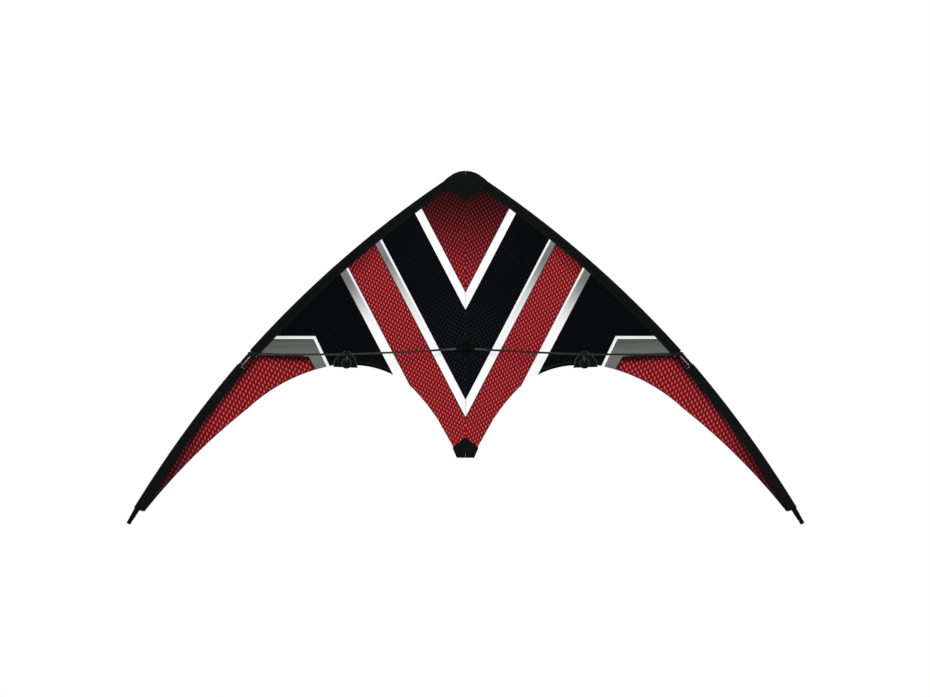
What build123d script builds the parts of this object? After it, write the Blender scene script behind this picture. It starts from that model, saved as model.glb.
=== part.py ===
from build123d import *
from math import acos, cos, exp, pi, radians, sin, sqrt, tan
import os

os.makedirs("parts", exist_ok=True)

# Dual-line delta stunt kite, in millimetres.
# X runs along the span, Z up the spine with the nose on top, and +Y points away from the flyer.
# The pieces are drawn with the spine's axis at X = 0, Y = 0, and written with the origin moved
# forward to the centre of the bridle's eye on the centre T. The right wing is modelled and the
# left one is its mirror image. Each wing folds back about the spine's axis.

# --- wing plan ------------------------------------------------------------------------------
DIHEDRAL = 5.0                    # sweep-back of each wing's plane, degrees
SLOPE = tan(radians(DIHEDRAL))
SAIL_Y = -5.0                     # the sail passes in front of the spine
CENTRE_GAP = 0.5                  # each half starts this far from the middle
EDGE_CENTRE_X = -1095.0           # centre of the leading edge's arc
EDGE_CENTRE_Z = -1361.4
EDGE_RADIUS = 2032.0              # outer edge of the sleeve
SLEEVE_WIDTH = 19.0
SLEEVE_START = 30.0               # stations are the X of a point on the sleeve's outer edge
SLEEVE_MIDDLE = 330.0
CUTOUT_START = 415.6
CUTOUT_END = 438.8
SLEEVE_END = 636.0
CUTOUT_INSET = 9.0                # the sail reaches this close to the edge at the connector
CUTOUT_ROOM = 0.6                 # between the sail's strip and the sleeves' ends

# --- trailing edge, as arcs from the tip to the keel in the front view -------------------------
OUTER_ARC = ((619.0, -313.4), (520.0, -203.0), (421.0, -115.4))
WING_ARC = ((421.0, -115.4), (340.0, -59.5), (254.0, -31.0))
INNER_ARC = ((209.0, -31.5), (155.0, -43.0), (101.0, -76.5))
KEEL_ARC = ((101.0, -76.5), (55.0, -133.0), (24.0, -188.0))
KEEL_CORNER_X = 17.0
KEEL_Z = -206.0

# --- sail ----------------------------------------------------------------------------------
SAIL_THICK = 0.6
SKIN_THICK = 0.5                  # hem and reinforcement patches
SKIN_GAP = 0.15
KEEL_THICK = 1.0
BILLOW = 80.0                     # how far the standoffs push the trailing edge back
BILLOW_RISE = 1.25                # steepness of the billow under the leading edge
STANDOFF_X = 229.6
STANDOFF_Z = -26.9
BILLOW_END_X = 660.0
FOOT_Z = -30.0                    # line near the trailing edge that the billow is measured to
KEEL_DROP = 180.0
KEEL_FADE = 75.0
WING_DROP = 266.0
WING_DROP_START = 240.0
WING_DROP_SPAN = 366.0
WING_DROP_POWER = 1.6
SKIN_START_X = -4.0               # the billowed sheet runs past the sail on every side
SKIN_SPAN = 646.0
SKIN_MARGIN = 0.03
SKIN_REACH = 1.23
SKIN_COLUMNS = 27
SKIN_ROWS = 11
STRIPE_RISE = 1.917               # slope of every stripe's edges
STRIPE_EDGES = (108.1, 75.4, -97.7, -130.4, -276.5, -316.9)
SILVER_EDGE = ((289.6, 25.2), (250.0, -59.2))
RED_EDGE = ((303.0, -14.4), (285.0, -47.0))
TIP_STATION = 606.0               # where the tip's patch starts on the sleeve
TIP_CORNERS = ((0.0, 0.0), (60.0, 37.0), (60.0, -90.0), (-30.0, -18.5))
FAR = 900.0                       # past every edge of the sail
HEM_RISE = 9.5
HEM_START = 10.0                  # the hem stops short of the spine
WINDOW_HALF_WIDTH = 12.5          # opening in the sail round the centre T
WINDOW_HALF_HEIGHT = 15.0

# --- patches and nose pocket ---------------------------------------------------------------------
STANDOFF_PATCH_TOP = ((226.0, -3.0), (231.6, -3.0), (253.4, -23.0))
STANDOFF_PATCH_FOOT = ((255.0, -34.5), (208.5, -36.5), (212.0, -20.5))
KEEL_PATCH_TOP = -169.6
KEEL_PATCH_SIDE = (24.6, -190.0)
KEEL_PATCH_FOOT = (16.3, -209.2)
POCKET_TOP = 342.3
POCKET_CROWN = (15.0, 339.6)
POCKET_SHOULDER = (29.0, 333.6)
POCKET_SIDE = (39.5, 311.5)
POCKET_FOOT = 283.0
POCKET_HALF = 5.7                 # half of the pocket's depth, outside
POCKET_ROOM_HALF = 4.3
POCKET_WALL = (1.0, -1.6)         # how far the room inside is moved from the pocket's top
POCKET_ROOM_SIDE = (80.0, 290.0)  # corners of the room's open end, past the pocket
POCKET_ROOM_FOOT = (-5.0, 200.0)
SPINE_ROOM = (9.4, 19.6, 80.0)    # opening at the back for the spine and its cap
SPINE_ROOM_Y = 5.0
SPINE_ROOM_Z = 312.0

# --- rods ----------------------------------------------------------------------------------
SPINE_R = 2.5
SPINE_TOP = 334.0
SPINE_BOTTOM = -198.0
SPINE_CAP_R = 3.5
SPINE_CAP_LENGTH = 12.0
SPINE_CAP_WALL = 1.5
SPAR_R = 2.0
SPAR_INSET = 4.5                  # spar centre inside the sleeve's outer edge
SPAR_END = 6.0                    # the lower spar runs this far past its sleeve
TIP_INSET = 8.5
SPAR_JOIN = 372.0
FERRULE_R = 3.0
FERRULE_BORE_R = 2.1
FERRULE_HALF = 22.0
SLEEVE_BORE_R = 3.2
SLEEVE_HALF = 4.0
SLEEVE_LAP_HALF = 0.6             # half of the sleeve's depth where it is sewn down
TAIL_LAP = 0.2                    # the sleeve's tail overlaps the sail's upper edge by this much
TIP_CAP_R = 4.3
TIP_CAP_END_R = 2.7
TIP_CAP_START = 0.4
TIP_CAP_LENGTH = 40.0
TIP_CAP_ROUND = 1.2
NOTCH_WIDTH = 1.6                 # line notch across the tip cap's end
NOTCH_SIZE = (8.0, 9.0)
NOTCH_PLACE = 38.0

# --- centre T --------------------------------------------------------------------------------
T_BARREL_R = 6.0
T_BARREL_LENGTH = 27.0
T_HUB_R = 10.5
T_HUB_HEIGHT = 12.0
T_RUN_GAP = 0.4                   # round gap between the hub and the arms
T_ARM_R = 4.5
T_ARM_END = 17.5
T_ARM_START = 3.5
T_ARM_ROOT = 12.0                 # the arm is drawn from this far behind the spreader's end
EYE_R = 1.5
EYE_Y = -17.0
EYE_TAB = 3.5                     # radius of a tab round its eye
EYE_WIDTH = 5.0
NECK_ROOT_Y = 8.0                 # the eye's neck starts inside the hub

# --- spreader, connector and standoff ----------------------------------------------------------
SPREADER_START = (10.5, -9.0, 0.8)
SPREADER_MIDDLE = (213.0, 8.8, -9.2)
CONNECTOR_STATION = 419.0
SOCKET_DEPTH_Y = 8.2              # the socket sits this far in front of the spar
CONNECTOR_Z = -9.7
CONNECTOR_R = 3.5
CONNECTOR_BARREL = (416.6, 434.8)
SOCKET_R = 4.0
SOCKET_LENGTH = 16.0
SOCKET_END = 3.0
CONNECTOR_EYE_OFFSET = 7.4
CONNECTOR_TAB = 4.0
STOP_CLIP = (435.2, 438.2)
STOP_CLIP_R = 3.8
STOP_CLIP_SLIT = 2.4
CLIP_X = 227.0
CLIP_R = 4.2
CLIP_LENGTH = 9.0
CLIP_BORE_R = 2.06                # turns on the spreader with 0.06 mm to spare
CLIP_RIDGE = (5.0, 4.0, 4.0)
STEM_R = 2.6
STEM_LENGTH = 14.0
STANDOFF_R = 1.0
STANDOFF_ROOT = 5.0               # the standoff's rod starts this far from the spreader's axis
STANDOFF_CLEARANCE = 0.5          # between the rod's end and the disc
DISC_R = 10.5
DISC_THICK = 2.0
DISC_OFFSET = 1.4
DISC_RIM_WIDTH = 1.4
DISC_RIM_HEIGHT = 0.8
BOSS_R = 5.0
BOSS_HEIGHT = 5.0
BOSS_SLOT = (3.2, 7.8)
SLOT_FLOOR = 0.1
SLOT_WAY = 16.0                   # the slot runs on out of the boss, downwards
WASHER_R = 8.0
WASHER_HOLE_R = 1.5
WASHER_THICK = 1.4

CUTTER = 60.0                     # longer than any small part that it cuts
ACROSS = Vector(0, 1, 0)
UP = Vector(0, 0, 1)


def edge_point(station, inset):
    """Point in the wing's plane, the given distance inside the leading edge."""
    angle = acos((station - EDGE_CENTRE_X) / EDGE_RADIUS)
    reach = EDGE_RADIUS - inset
    x = EDGE_CENTRE_X + reach * cos(angle)
    return Vector(x, SAIL_Y + x * SLOPE, EDGE_CENTRE_Z + reach * sin(angle))


def spar_inset(station):
    """Inset of the spar, which leaves the outer fold towards the tip."""
    share = max(0.0, (station - CUTOUT_END) / (SLEEVE_END - CUTOUT_END))
    return SPAR_INSET + (TIP_INSET - SPAR_INSET) * share


def spar_point(station):
    """Centre of the spar at a station."""
    return edge_point(station, spar_inset(station))


def spar_path(start, end):
    """Arc of the spar's centre between two stations."""
    return ThreePointArc(spar_point(start), spar_point((start + end) / 2), spar_point(end))


def lower_spar_path():
    """Arc of the lower spar's centre."""
    return spar_path(SPAR_JOIN, SLEEVE_END + SPAR_END)


def share_at(path, x):
    """Share of a path's length where it reaches an X."""
    low = 0.0
    high = 1.0
    for _ in range(40):
        half = (low + high) / 2
        if (path @ half).X < x:
            low = half
        else:
            high = half
    return low


def spar_stretch(start, end):
    """Stretch of the lower spar's path between two stations."""
    path = lower_spar_path()
    return path.trim(share_at(path, spar_point(start).X), share_at(path, spar_point(end).X))


def edge_height(x, inset):
    """Z of the leading edge's arc at an X."""
    return EDGE_CENTRE_Z + sqrt((EDGE_RADIUS - inset) ** 2 - (x - EDGE_CENTRE_X) ** 2)


def trailing_height(x):
    """Smooth line near the trailing edge, which the billow is measured to."""
    keel = KEEL_DROP * exp(-x / KEEL_FADE)
    wing = WING_DROP * max(0.0, (x - WING_DROP_START) / WING_DROP_SPAN) ** WING_DROP_POWER
    return FOOT_Z - keel - wing


def sail_y(x, z):
    """Depth of the billowed sail at a place in the front view."""
    top = edge_height(x, SPAR_INSET)
    share = (top - z) / (top - trailing_height(x))
    if x < STANDOFF_X:
        depth = BILLOW * sin(pi / 2 * x / STANDOFF_X)
    else:
        depth = BILLOW * cos(pi / 2 * (x - STANDOFF_X) / (BILLOW_END_X - STANDOFF_X))
    return SAIL_Y + x * SLOPE + depth * (BILLOW_RISE * share - (BILLOW_RISE - 1) * share**3)


def sail_skin(offset, thickness):
    """Billowed sheet of the whole wing, offset along Y from the sail."""
    grid = []
    for column in range(SKIN_COLUMNS):
        x = SKIN_START_X + SKIN_SPAN * column / (SKIN_COLUMNS - 1)
        top = edge_height(x, SPAR_INSET)
        height = top - trailing_height(x)
        line = []
        for row in range(SKIN_ROWS):
            z = top - height * (SKIN_REACH * row / (SKIN_ROWS - 1) - SKIN_MARGIN)
            line.append(Vector(x, sail_y(x, z) + offset, z))
        grid.append(line)
    face = Face.make_surface_from_array_of_points(grid)
    return extrude(face, amount=thickness, dir=ACROSS)


def upright(sketch):
    """Prism through the kite over an outline in the front view."""
    return extrude(Plane.XZ * sketch, amount=FAR, both=True)


def closed(*curves):
    """Flat face inside a closed chain of curves."""
    return make_face([edge for curve in curves for edge in curve.edges()])


def biggest(shape):
    """Largest solid of a shape."""
    return max(shape.solids(), key=lambda solid: solid.volume)


def cutout_edge():
    """Strip of sail that runs on behind the connector, where the sleeves leave a notch."""
    start = CUTOUT_START + CUTOUT_ROOM
    end = CUTOUT_END - CUTOUT_ROOM
    corners = [
        edge_point(start, SLEEVE_WIDTH + 1.0),
        edge_point(start, CUTOUT_INSET),
        edge_point(end, CUTOUT_INSET + 1.0),
        edge_point(end, SLEEVE_WIDTH + 1.0),
    ]
    return make_face(Polyline([(corner.X, corner.Z) for corner in corners], close=True))


def sail_outline():
    """Half of the sail in the front view, from the sleeve's inner edge to the trailing edge."""
    tip = edge_point(SLEEVE_END, SLEEVE_WIDTH)
    middle = edge_point(SLEEVE_MIDDLE, SLEEVE_WIDTH)
    top = (CENTRE_GAP, edge_height(CENTRE_GAP, SLEEVE_WIDTH))
    edge = ThreePointArc(top, (middle.X, middle.Z), (tip.X, tip.Z))
    outline = closed(
        edge,
        Line(edge @ 1, OUTER_ARC[0]),
        ThreePointArc(*OUTER_ARC),
        ThreePointArc(*WING_ARC),
        Line(WING_ARC[2], INNER_ARC[0]),
        ThreePointArc(*INNER_ARC),
        ThreePointArc(*KEEL_ARC),
        Polyline(KEEL_ARC[2], (KEEL_CORNER_X, KEEL_Z), (CENTRE_GAP, KEEL_Z), top),
    )
    window = Rectangle(2 * WINDOW_HALF_WIDTH, 2 * WINDOW_HALF_HEIGHT)
    return outline - window + cutout_edge()


def band(upper, lower):
    """Strip between two stripe edges, given by their heights on the centre line."""
    rise = FAR * STRIPE_RISE
    corners = ((0, upper), (FAR, upper + rise), (FAR, lower + rise), (0, lower))
    return make_face(Polyline(*corners, close=True))


def beyond(edge):
    """Everything outside and below a seam that runs down from its first point to its second."""
    (x1, z1), (x2, z2) = edge
    return make_face(Polyline((x1, z1), (FAR, z1), (FAR, -FAR), (x2, -FAR), (x2, z2), close=True))


def bent_rod(path, radius):
    """Round rod along a curved path."""
    plane = Plane(origin=path @ 0, z_dir=path % 0)
    return sweep(plane * Circle(radius), path=path)


def straight_bar(start, direction, length, radius):
    """Straight round bar from a point."""
    plane = Plane(origin=start, z_dir=direction)
    return extrude(plane * Circle(radius), amount=length, dir=direction)


def wing_slab(near, far):
    """Slab parallel to the wing's plane, between two distances behind it."""
    depth = (near + far) / 2
    slab = Box(FAR, (far - near) * cos(radians(DIHEDRAL)), FAR)
    return Pos(0, SAIL_Y + depth, 0) * Rot(0, 0, DIHEDRAL) * slab


# --- sail panels -------------------------------------------------------------------------------
def sail_panels():
    """The wing's sewn panels, cut from one billowed sheet."""
    sheet = sail_skin(-SAIL_THICK / 2, SAIL_THICK) & upright(sail_outline())
    edges = STRIPE_EDGES
    foot = edges[5] + FAR * STRIPE_RISE
    outer = make_face(Polyline((0, edges[5]), (FAR, foot), (FAR, -FAR), (0, -FAR), close=True))
    silver_side = beyond(SILVER_EDGE)
    red_side = beyond(RED_EDGE)
    start = edge_point(TIP_STATION, SLEEVE_WIDTH)
    corners = [(start.X + x, start.Z + z) for x, z in TIP_CORNERS]
    tip_side = make_face(Polyline(*corners, close=True))
    regions = {
        "crown_panel": band(edges[0] + FAR, edges[0]),
        "upper_stripe": band(edges[0], edges[1]),
        "black_band": band(edges[1], edges[2]),
        "middle_stripe": band(edges[2], edges[3]),
        "red_band": band(edges[3], edges[4]),
        "lower_stripe": band(edges[4], edges[5]),
        "black_wing_panel": outer - silver_side - tip_side,
        "silver_panel": (outer & silver_side) - red_side - tip_side,
        "red_tip_panel": (outer & red_side) - tip_side,
        "tip_patch": outer & tip_side,
    }
    return {name: biggest(sheet & upright(region)) for name, region in regions.items()}


def hem():
    """Folded tape along the back of the trailing edge."""
    outline = sail_outline()
    strip = outline - Pos(0, HEM_RISE) * outline
    strip -= Pos(0, KEEL_Z) * Rectangle(2 * HEM_START, -2 * KEEL_Z)
    skin = sail_skin(SAIL_THICK / 2 + SKIN_GAP, SKIN_THICK)
    return biggest(skin & upright(strip))


def patch(corners, thickness):
    """Reinforcement laid on the front of the sail."""
    skin = sail_skin(-SAIL_THICK / 2 - SKIN_GAP - thickness, thickness)
    return biggest(skin & upright(make_face(Polyline(*corners, close=True))))


def standoff_patch():
    """Three-sided reinforcement round the standoff's disc."""
    return patch(STANDOFF_PATCH_TOP + STANDOFF_PATCH_FOOT, SKIN_THICK)


def keel_patch():
    """Half of the heavy patch at the bottom of the spine."""
    top = (CENTRE_GAP, KEEL_PATCH_TOP)
    foot = (CENTRE_GAP, KEEL_PATCH_FOOT[1])
    return patch((top, KEEL_PATCH_SIDE, KEEL_PATCH_FOOT, foot), KEEL_THICK)


def nose_pocket():
    """Half of the webbing pocket that closes the nose over the sail and the spar's end."""
    peak = (CENTRE_GAP, POCKET_TOP)
    top = ThreePointArc(peak, POCKET_CROWN, POCKET_SHOULDER)
    outer = closed(top, Polyline(POCKET_SHOULDER, POCKET_SIDE, (CENTRE_GAP, POCKET_FOOT), peak))
    corner = (POCKET_ROOM_FOOT[0], POCKET_TOP)
    low = Polyline(POCKET_SHOULDER, POCKET_ROOM_SIDE, POCKET_ROOM_FOOT, corner, peak)
    inner = Pos(*POCKET_WALL) * closed(top, low)
    shell = upright(outer) & wing_slab(-POCKET_HALF, POCKET_HALF)
    shell -= upright(inner) & wing_slab(-POCKET_ROOM_HALF, POCKET_ROOM_HALF)
    return biggest(shell - Pos(0, SPINE_ROOM_Y, SPINE_ROOM_Z) * Box(*SPINE_ROOM))


# --- leading edge ----------------------------------------------------------------------------
def sleeve(start, end, count):
    """Tapered fabric tube round the spar, with its tail laid towards the sail."""
    sections = []
    for index in range(count):
        station = start + (end - start) * index / (count - 1)
        inset = spar_inset(station)
        centre = spar_point(station)
        tail = edge_point(station, SLEEVE_WIDTH - TAIL_LAP)
        tail = Vector(tail.X, sail_y(tail.X, tail.Z), tail.Z)
        along = spar_point(station + 1.0) - spar_point(station - 1.0)
        plane = Plane(origin=centre, x_dir=tail - centre, z_dir=along)
        reach = (tail - centre).length
        nose = ThreePointArc((0, SLEEVE_HALF), (-inset, 0), (0, -SLEEVE_HALF))
        lap = SLEEVE_LAP_HALF
        sides = Polyline((0, -SLEEVE_HALF), (reach, -lap), (reach, lap), (0, SLEEVE_HALF))
        sections.append(plane * closed(nose, sides))
    body = loft(sections)
    return body - bent_rod(spar_path(start - 5.0, end + 5.0), SLEEVE_BORE_R)


def spar_ferrule():
    """Tube that joins the upper and lower spars inside the sleeve."""
    tube = bent_rod(spar_path(SPAR_JOIN - FERRULE_HALF, SPAR_JOIN + FERRULE_HALF), FERRULE_R)
    reach = FERRULE_HALF + 6.0
    return tube - bent_rod(spar_path(SPAR_JOIN - reach, SPAR_JOIN + reach), FERRULE_BORE_R)


def connector_point():
    """Where the spreader's axis passes in front of the leading edge's spar."""
    point = spar_point(CONNECTOR_STATION)
    return Vector(point.X, point.Y - SOCKET_DEPTH_Y, CONNECTOR_Z)


def connector_eye():
    """Centre of the bridle's eye on the connector."""
    return connector_point() - ACROSS * CONNECTOR_EYE_OFFSET


def spreader_path():
    """Arc of the spreader's centre, which the sail's pull bends."""
    return ThreePointArc(SPREADER_START, SPREADER_MIDDLE, connector_point())


def connector():
    """Moulded fitting that holds the spreader's end on the leading edge."""
    joint = connector_point()
    path = spreader_path()
    inward = -(path % 1)
    barrel = bent_rod(spar_stretch(*CONNECTOR_BARREL), CONNECTOR_R)
    socket = straight_bar(joint - inward * SOCKET_END, inward, SOCKET_LENGTH + SOCKET_END, SOCKET_R)
    web = straight_bar(joint, ACROSS, SOCKET_DEPTH_Y, CONNECTOR_R)
    eye = connector_eye()
    tab = straight_bar(eye - UP * CONNECTOR_TAB / 2, UP, CONNECTOR_TAB, EYE_TAB)
    middle = joint - ACROSS * CONNECTOR_EYE_OFFSET / 2
    neck = Pos(*middle) * Box(2 * EYE_TAB, CONNECTOR_EYE_OFFSET, CONNECTOR_TAB)
    body = barrel + socket + web + tab + neck
    body -= bent_rod(lower_spar_path(), SPAR_R)
    body -= bent_rod(path, SPAR_R)
    body -= straight_bar(eye - UP * CONNECTOR_TAB, UP, 2 * CONNECTOR_TAB, EYE_R)
    return biggest(body)


def stop_clip():
    """Split ring on the spar under the connector."""
    ring = bent_rod(spar_stretch(*STOP_CLIP), STOP_CLIP_R) - bent_rod(lower_spar_path(), SPAR_R)
    middle = spar_point(sum(STOP_CLIP) / 2)
    slit = Box(STOP_CLIP_SLIT, 3 * SPAR_R, 6 * SPAR_R)
    return biggest(ring - Pos(middle.X, middle.Y - 1.5 * SPAR_R, middle.Z) * slit)


def tip_cap():
    """Tapered end cap with a notch, pushed on the lower spar."""
    start = spar_point(SLEEVE_END)
    along = (spar_point(SLEEVE_END + 1.0) - spar_point(SLEEVE_END - 1.0)).normalized()
    root = Plane(origin=start + along * TIP_CAP_START, z_dir=along)
    end = Plane(origin=start + along * TIP_CAP_LENGTH, z_dir=along)
    body = loft([root * Circle(TIP_CAP_R), end * Circle(TIP_CAP_END_R)])
    body = fillet(body.faces().sort_by(Axis.Z)[0].edges(), TIP_CAP_ROUND)
    body -= bent_rod(lower_spar_path(), SPAR_R)
    notch = Plane(origin=start + along * NOTCH_PLACE, z_dir=along) * Box(NOTCH_WIDTH, *NOTCH_SIZE)
    return biggest(body - notch)


# --- centre T ----------------------------------------------------------------------------------
def t_hub():
    """Hub of the centre T on the spine, with the bridle's eye in front."""
    eye_place = Pos(0, EYE_Y, 0) * Rot(0, 90, 0)
    body = Cylinder(T_BARREL_R, T_BARREL_LENGTH) + Cylinder(T_HUB_R, T_HUB_HEIGHT)
    body += eye_place * Cylinder(EYE_TAB, EYE_WIDTH)
    body += Pos(0, (EYE_Y - NECK_ROOT_Y) / 2, 0) * Box(EYE_WIDTH, -EYE_Y - NECK_ROOT_Y, 2 * EYE_TAB)
    body -= eye_place * Cylinder(EYE_R, CUTTER)
    return biggest(body - Cylinder(SPINE_R, CUTTER))


def t_arm():
    """Arm of the centre T, which takes the spreader and turns with the wing."""
    path = spreader_path()
    along = path % 0
    start = path @ 0
    body = straight_bar(start - along * T_ARM_ROOT, along, T_ARM_ROOT + T_ARM_END - start.X, T_ARM_R)
    body -= Cylinder(T_HUB_R + T_RUN_GAP, CUTTER)
    body -= Pos(T_ARM_START - CUTTER / 2, 0, 0) * Box(CUTTER, CUTTER, CUTTER)
    return biggest(body - bent_rod(path, SPAR_R))


# --- standoff ------------------------------------------------------------------------------------
def disc_frame():
    """Centre and outward normal of the sail under the standoff's disc, normal towards +Y."""
    step = 2.0
    rise_x = (sail_y(STANDOFF_X + step, STANDOFF_Z) - sail_y(STANDOFF_X - step, STANDOFF_Z)) / (2 * step)
    rise_z = (sail_y(STANDOFF_X, STANDOFF_Z + step) - sail_y(STANDOFF_X, STANDOFF_Z - step)) / (2 * step)
    centre = Vector(STANDOFF_X, sail_y(STANDOFF_X, STANDOFF_Z), STANDOFF_Z)
    return centre, Vector(-rise_x, 1.0, -rise_z).normalized()


def standoff_pieces():
    """Clip and rod of the standoff, which turn together on the spreader."""
    path = spreader_path()
    share = share_at(path, CLIP_X)
    pivot = path @ share
    along = path % share
    centre, normal = disc_frame()
    seat = centre - normal * (DISC_OFFSET + DISC_THICK + STANDOFF_CLEARANCE)
    reach = seat - pivot
    back = reach.normalized()
    root = pivot + back * STANDOFF_ROOT
    clip = straight_bar(pivot - along * (CLIP_LENGTH / 2), along, CLIP_LENGTH, CLIP_R)
    clip += straight_bar(pivot, back, STEM_LENGTH, STEM_R)
    clip += Pos(*(pivot + UP * CLIP_R)) * Box(*CLIP_RIDGE)
    clip -= straight_bar(pivot - along * (CUTTER / 2), along, CUTTER, CLIP_BORE_R)
    clip -= straight_bar(root, back, CUTTER, STANDOFF_R)
    rod = straight_bar(root, back, reach.length - STANDOFF_ROOT, STANDOFF_R)
    return biggest(clip), rod


def standoff_disc():
    """Button in front of the sail, with a slot that the standoff's end swings out of."""
    centre, normal = disc_frame()
    front = -normal
    plane = Plane(origin=centre + front * DISC_OFFSET, x_dir=(1, 0, 0), z_dir=front)
    face = plane * Pos(0, 0, DISC_THICK)
    plate = plane * extrude(Circle(DISC_R), amount=DISC_THICK)
    rim = Circle(DISC_R) - Circle(DISC_R - DISC_RIM_WIDTH)
    body = plate + face * extrude(rim, amount=DISC_RIM_HEIGHT)
    body += face * extrude(Circle(BOSS_R), amount=BOSS_HEIGHT)
    level = Pos(0, 0, SLOT_FLOOR + BOSS_HEIGHT)
    down = plane.to_local_coords(-UP).Y
    body -= face * level * Box(*BOSS_SLOT, 2 * BOSS_HEIGHT)
    body -= face * level * Pos(0, down * SLOT_WAY / 2, 0) * Box(BOSS_SLOT[0], SLOT_WAY, 2 * BOSS_HEIGHT)
    return biggest(body)


def disc_washer():
    """Washer behind the sail that the button is riveted to."""
    centre, normal = disc_frame()
    plane = Plane(origin=centre + normal * DISC_OFFSET, z_dir=normal)
    return plane * extrude(Circle(WASHER_R) - Circle(WASHER_HOLE_R), amount=WASHER_THICK)


# --- build -----------------------------------------------------------------------------------------
right = sail_panels()
right["trailing_edge_hem"] = hem()
right["standoff_patch"] = standoff_patch()
right["keel_patch"] = keel_patch()
right["nose_pocket"] = nose_pocket()
right["upper_sleeve"] = sleeve(SLEEVE_START, CUTOUT_START, 8)
right["lower_sleeve"] = sleeve(CUTOUT_END, SLEEVE_END, 5)
right["upper_spar"] = bent_rod(spar_path(SLEEVE_START, SPAR_JOIN), SPAR_R)
right["lower_spar"] = bent_rod(lower_spar_path(), SPAR_R)
right["spar_ferrule"] = spar_ferrule()
right["tip_cap"] = tip_cap()
right["leading_edge_connector"] = connector()
right["connector_stop_clip"] = stop_clip()
right["spreader"] = bent_rod(spreader_path(), SPAR_R)
right["t_arm"] = t_arm()
right["standoff_clip"], right["standoff_rod"] = standoff_pieces()
right["standoff_disc"] = standoff_disc()
right["disc_washer"] = disc_washer()

spine_length = SPINE_TOP - SPINE_BOTTOM
cap_shift = SPINE_CAP_LENGTH / 2 - SPINE_CAP_WALL
cap = Cylinder(SPINE_CAP_R, SPINE_CAP_LENGTH)
cap_room = Cylinder(SPINE_R, SPINE_CAP_LENGTH)
middle = {
    "spine_rod": Pos(0, 0, SPINE_BOTTOM + spine_length / 2) * Cylinder(SPINE_R, spine_length),
    "centre_t_hub": t_hub(),
    "spine_top_cap": Pos(0, 0, SPINE_TOP - cap_shift) * (cap - Pos(0, 0, -SPINE_CAP_WALL) * cap_room),
    "spine_bottom_cap": Pos(0, 0, SPINE_BOTTOM + cap_shift) * (cap - Pos(0, 0, SPINE_CAP_WALL) * cap_room),
}

place = Pos(0, -EYE_Y, 0)         # origin at the centre bridle eye
for name, piece in middle.items():
    export_step(place * biggest(piece), f"parts/{name}.step")
for name, piece in right.items():
    solid = place * biggest(piece)
    export_step(solid, f"parts/right_{name}.step")
    export_step(mirror(solid, about=Plane.YZ), f"parts/left_{name}.step")

spreader = spreader_path()
share = share_at(spreader, CLIP_X)
print("standoff hinge", place * Pos(*(spreader @ share)), "axis", spreader % share)
print("connector eye", place * Pos(*connector_eye()))
print("nodes", len(middle) + 2 * len(right))
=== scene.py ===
"""Dual-line delta stunt kite: sewn sails, rods, moulded fittings and their finishes, in metres.

X runs along the span, Z up the spine with the nose on top, and +Y points away from the flyer.
The right half is drawn first, and the left half is its mirror image.
"""
import logging
from dataclasses import dataclass
from enum import Enum
from math import acos, atan2, ceil, cos, exp, hypot, pi, radians, sin, sqrt, tan
from typing import Callable, ClassVar, Iterator, Union

import bmesh
import bpy
from mathutils import Matrix, Vector


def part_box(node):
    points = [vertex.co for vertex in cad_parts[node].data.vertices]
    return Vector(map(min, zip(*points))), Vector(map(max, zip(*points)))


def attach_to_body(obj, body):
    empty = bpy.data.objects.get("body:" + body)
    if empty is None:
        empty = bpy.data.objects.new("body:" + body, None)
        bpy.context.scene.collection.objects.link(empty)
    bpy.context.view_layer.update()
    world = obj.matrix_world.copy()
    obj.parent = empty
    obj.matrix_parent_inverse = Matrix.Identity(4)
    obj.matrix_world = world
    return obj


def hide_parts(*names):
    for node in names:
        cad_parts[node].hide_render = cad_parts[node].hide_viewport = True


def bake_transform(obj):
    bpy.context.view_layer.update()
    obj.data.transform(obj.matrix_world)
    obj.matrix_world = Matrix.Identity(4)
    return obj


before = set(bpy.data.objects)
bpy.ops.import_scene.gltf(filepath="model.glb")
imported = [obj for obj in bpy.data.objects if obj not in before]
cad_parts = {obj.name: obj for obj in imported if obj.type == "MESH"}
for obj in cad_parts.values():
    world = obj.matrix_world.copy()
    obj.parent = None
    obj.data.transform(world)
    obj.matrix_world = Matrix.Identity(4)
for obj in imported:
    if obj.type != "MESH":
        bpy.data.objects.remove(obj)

LOG = logging.getLogger("kite")
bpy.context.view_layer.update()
MM = 0.001
Flat = tuple[float, float]
Colour = tuple[float, float, float, float]
LIGHT_LEVEL = 1.3                 # how bright a white surface comes out under the studio light
SHARP_ANGLE = radians(50)         # edges sharper than this aren't shaded round
END_TAPER = 0.45                  # how far a stitch's ends are drawn in


def tint(red: int, green: int, blue: int) -> Colour:
    """Surface colour that comes out as the given display colour under the studio light."""
    def part(value: int) -> float:
        share = value / 255
        linear = share / 12.92 if share <= 0.04045 else ((share + 0.055) / 1.055) ** 2.4
        return linear / LIGHT_LEVEL
    return (part(red), part(green), part(blue), 1.0)


def ease(low: float, high: float, value: float) -> float:
    """Smooth step from 0 at low to 1 at high."""
    share = min(1.0, max(0.0, (value - low) / (high - low)))
    return share * share * (3 - 2 * share)


def between(start: Flat, end: Flat, share: float) -> Flat:
    """Point on the straight line between two flat points."""
    return (start[0] + (end[0] - start[0]) * share, start[1] + (end[1] - start[1]) * share)


def chain(points: list[Flat], counts: list[int]) -> list[Flat]:
    """Points along a run of straight lines.

    Args:
        points: the corners.
        counts: how many steps each line is divided into.

    Returns:
        The corners and the points between them.
    """
    out = [points[0]]
    for start, end, count in zip(points, points[1:], counts):
        out += [between(start, end, (step + 1) / count) for step in range(count)]
    return out


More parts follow.
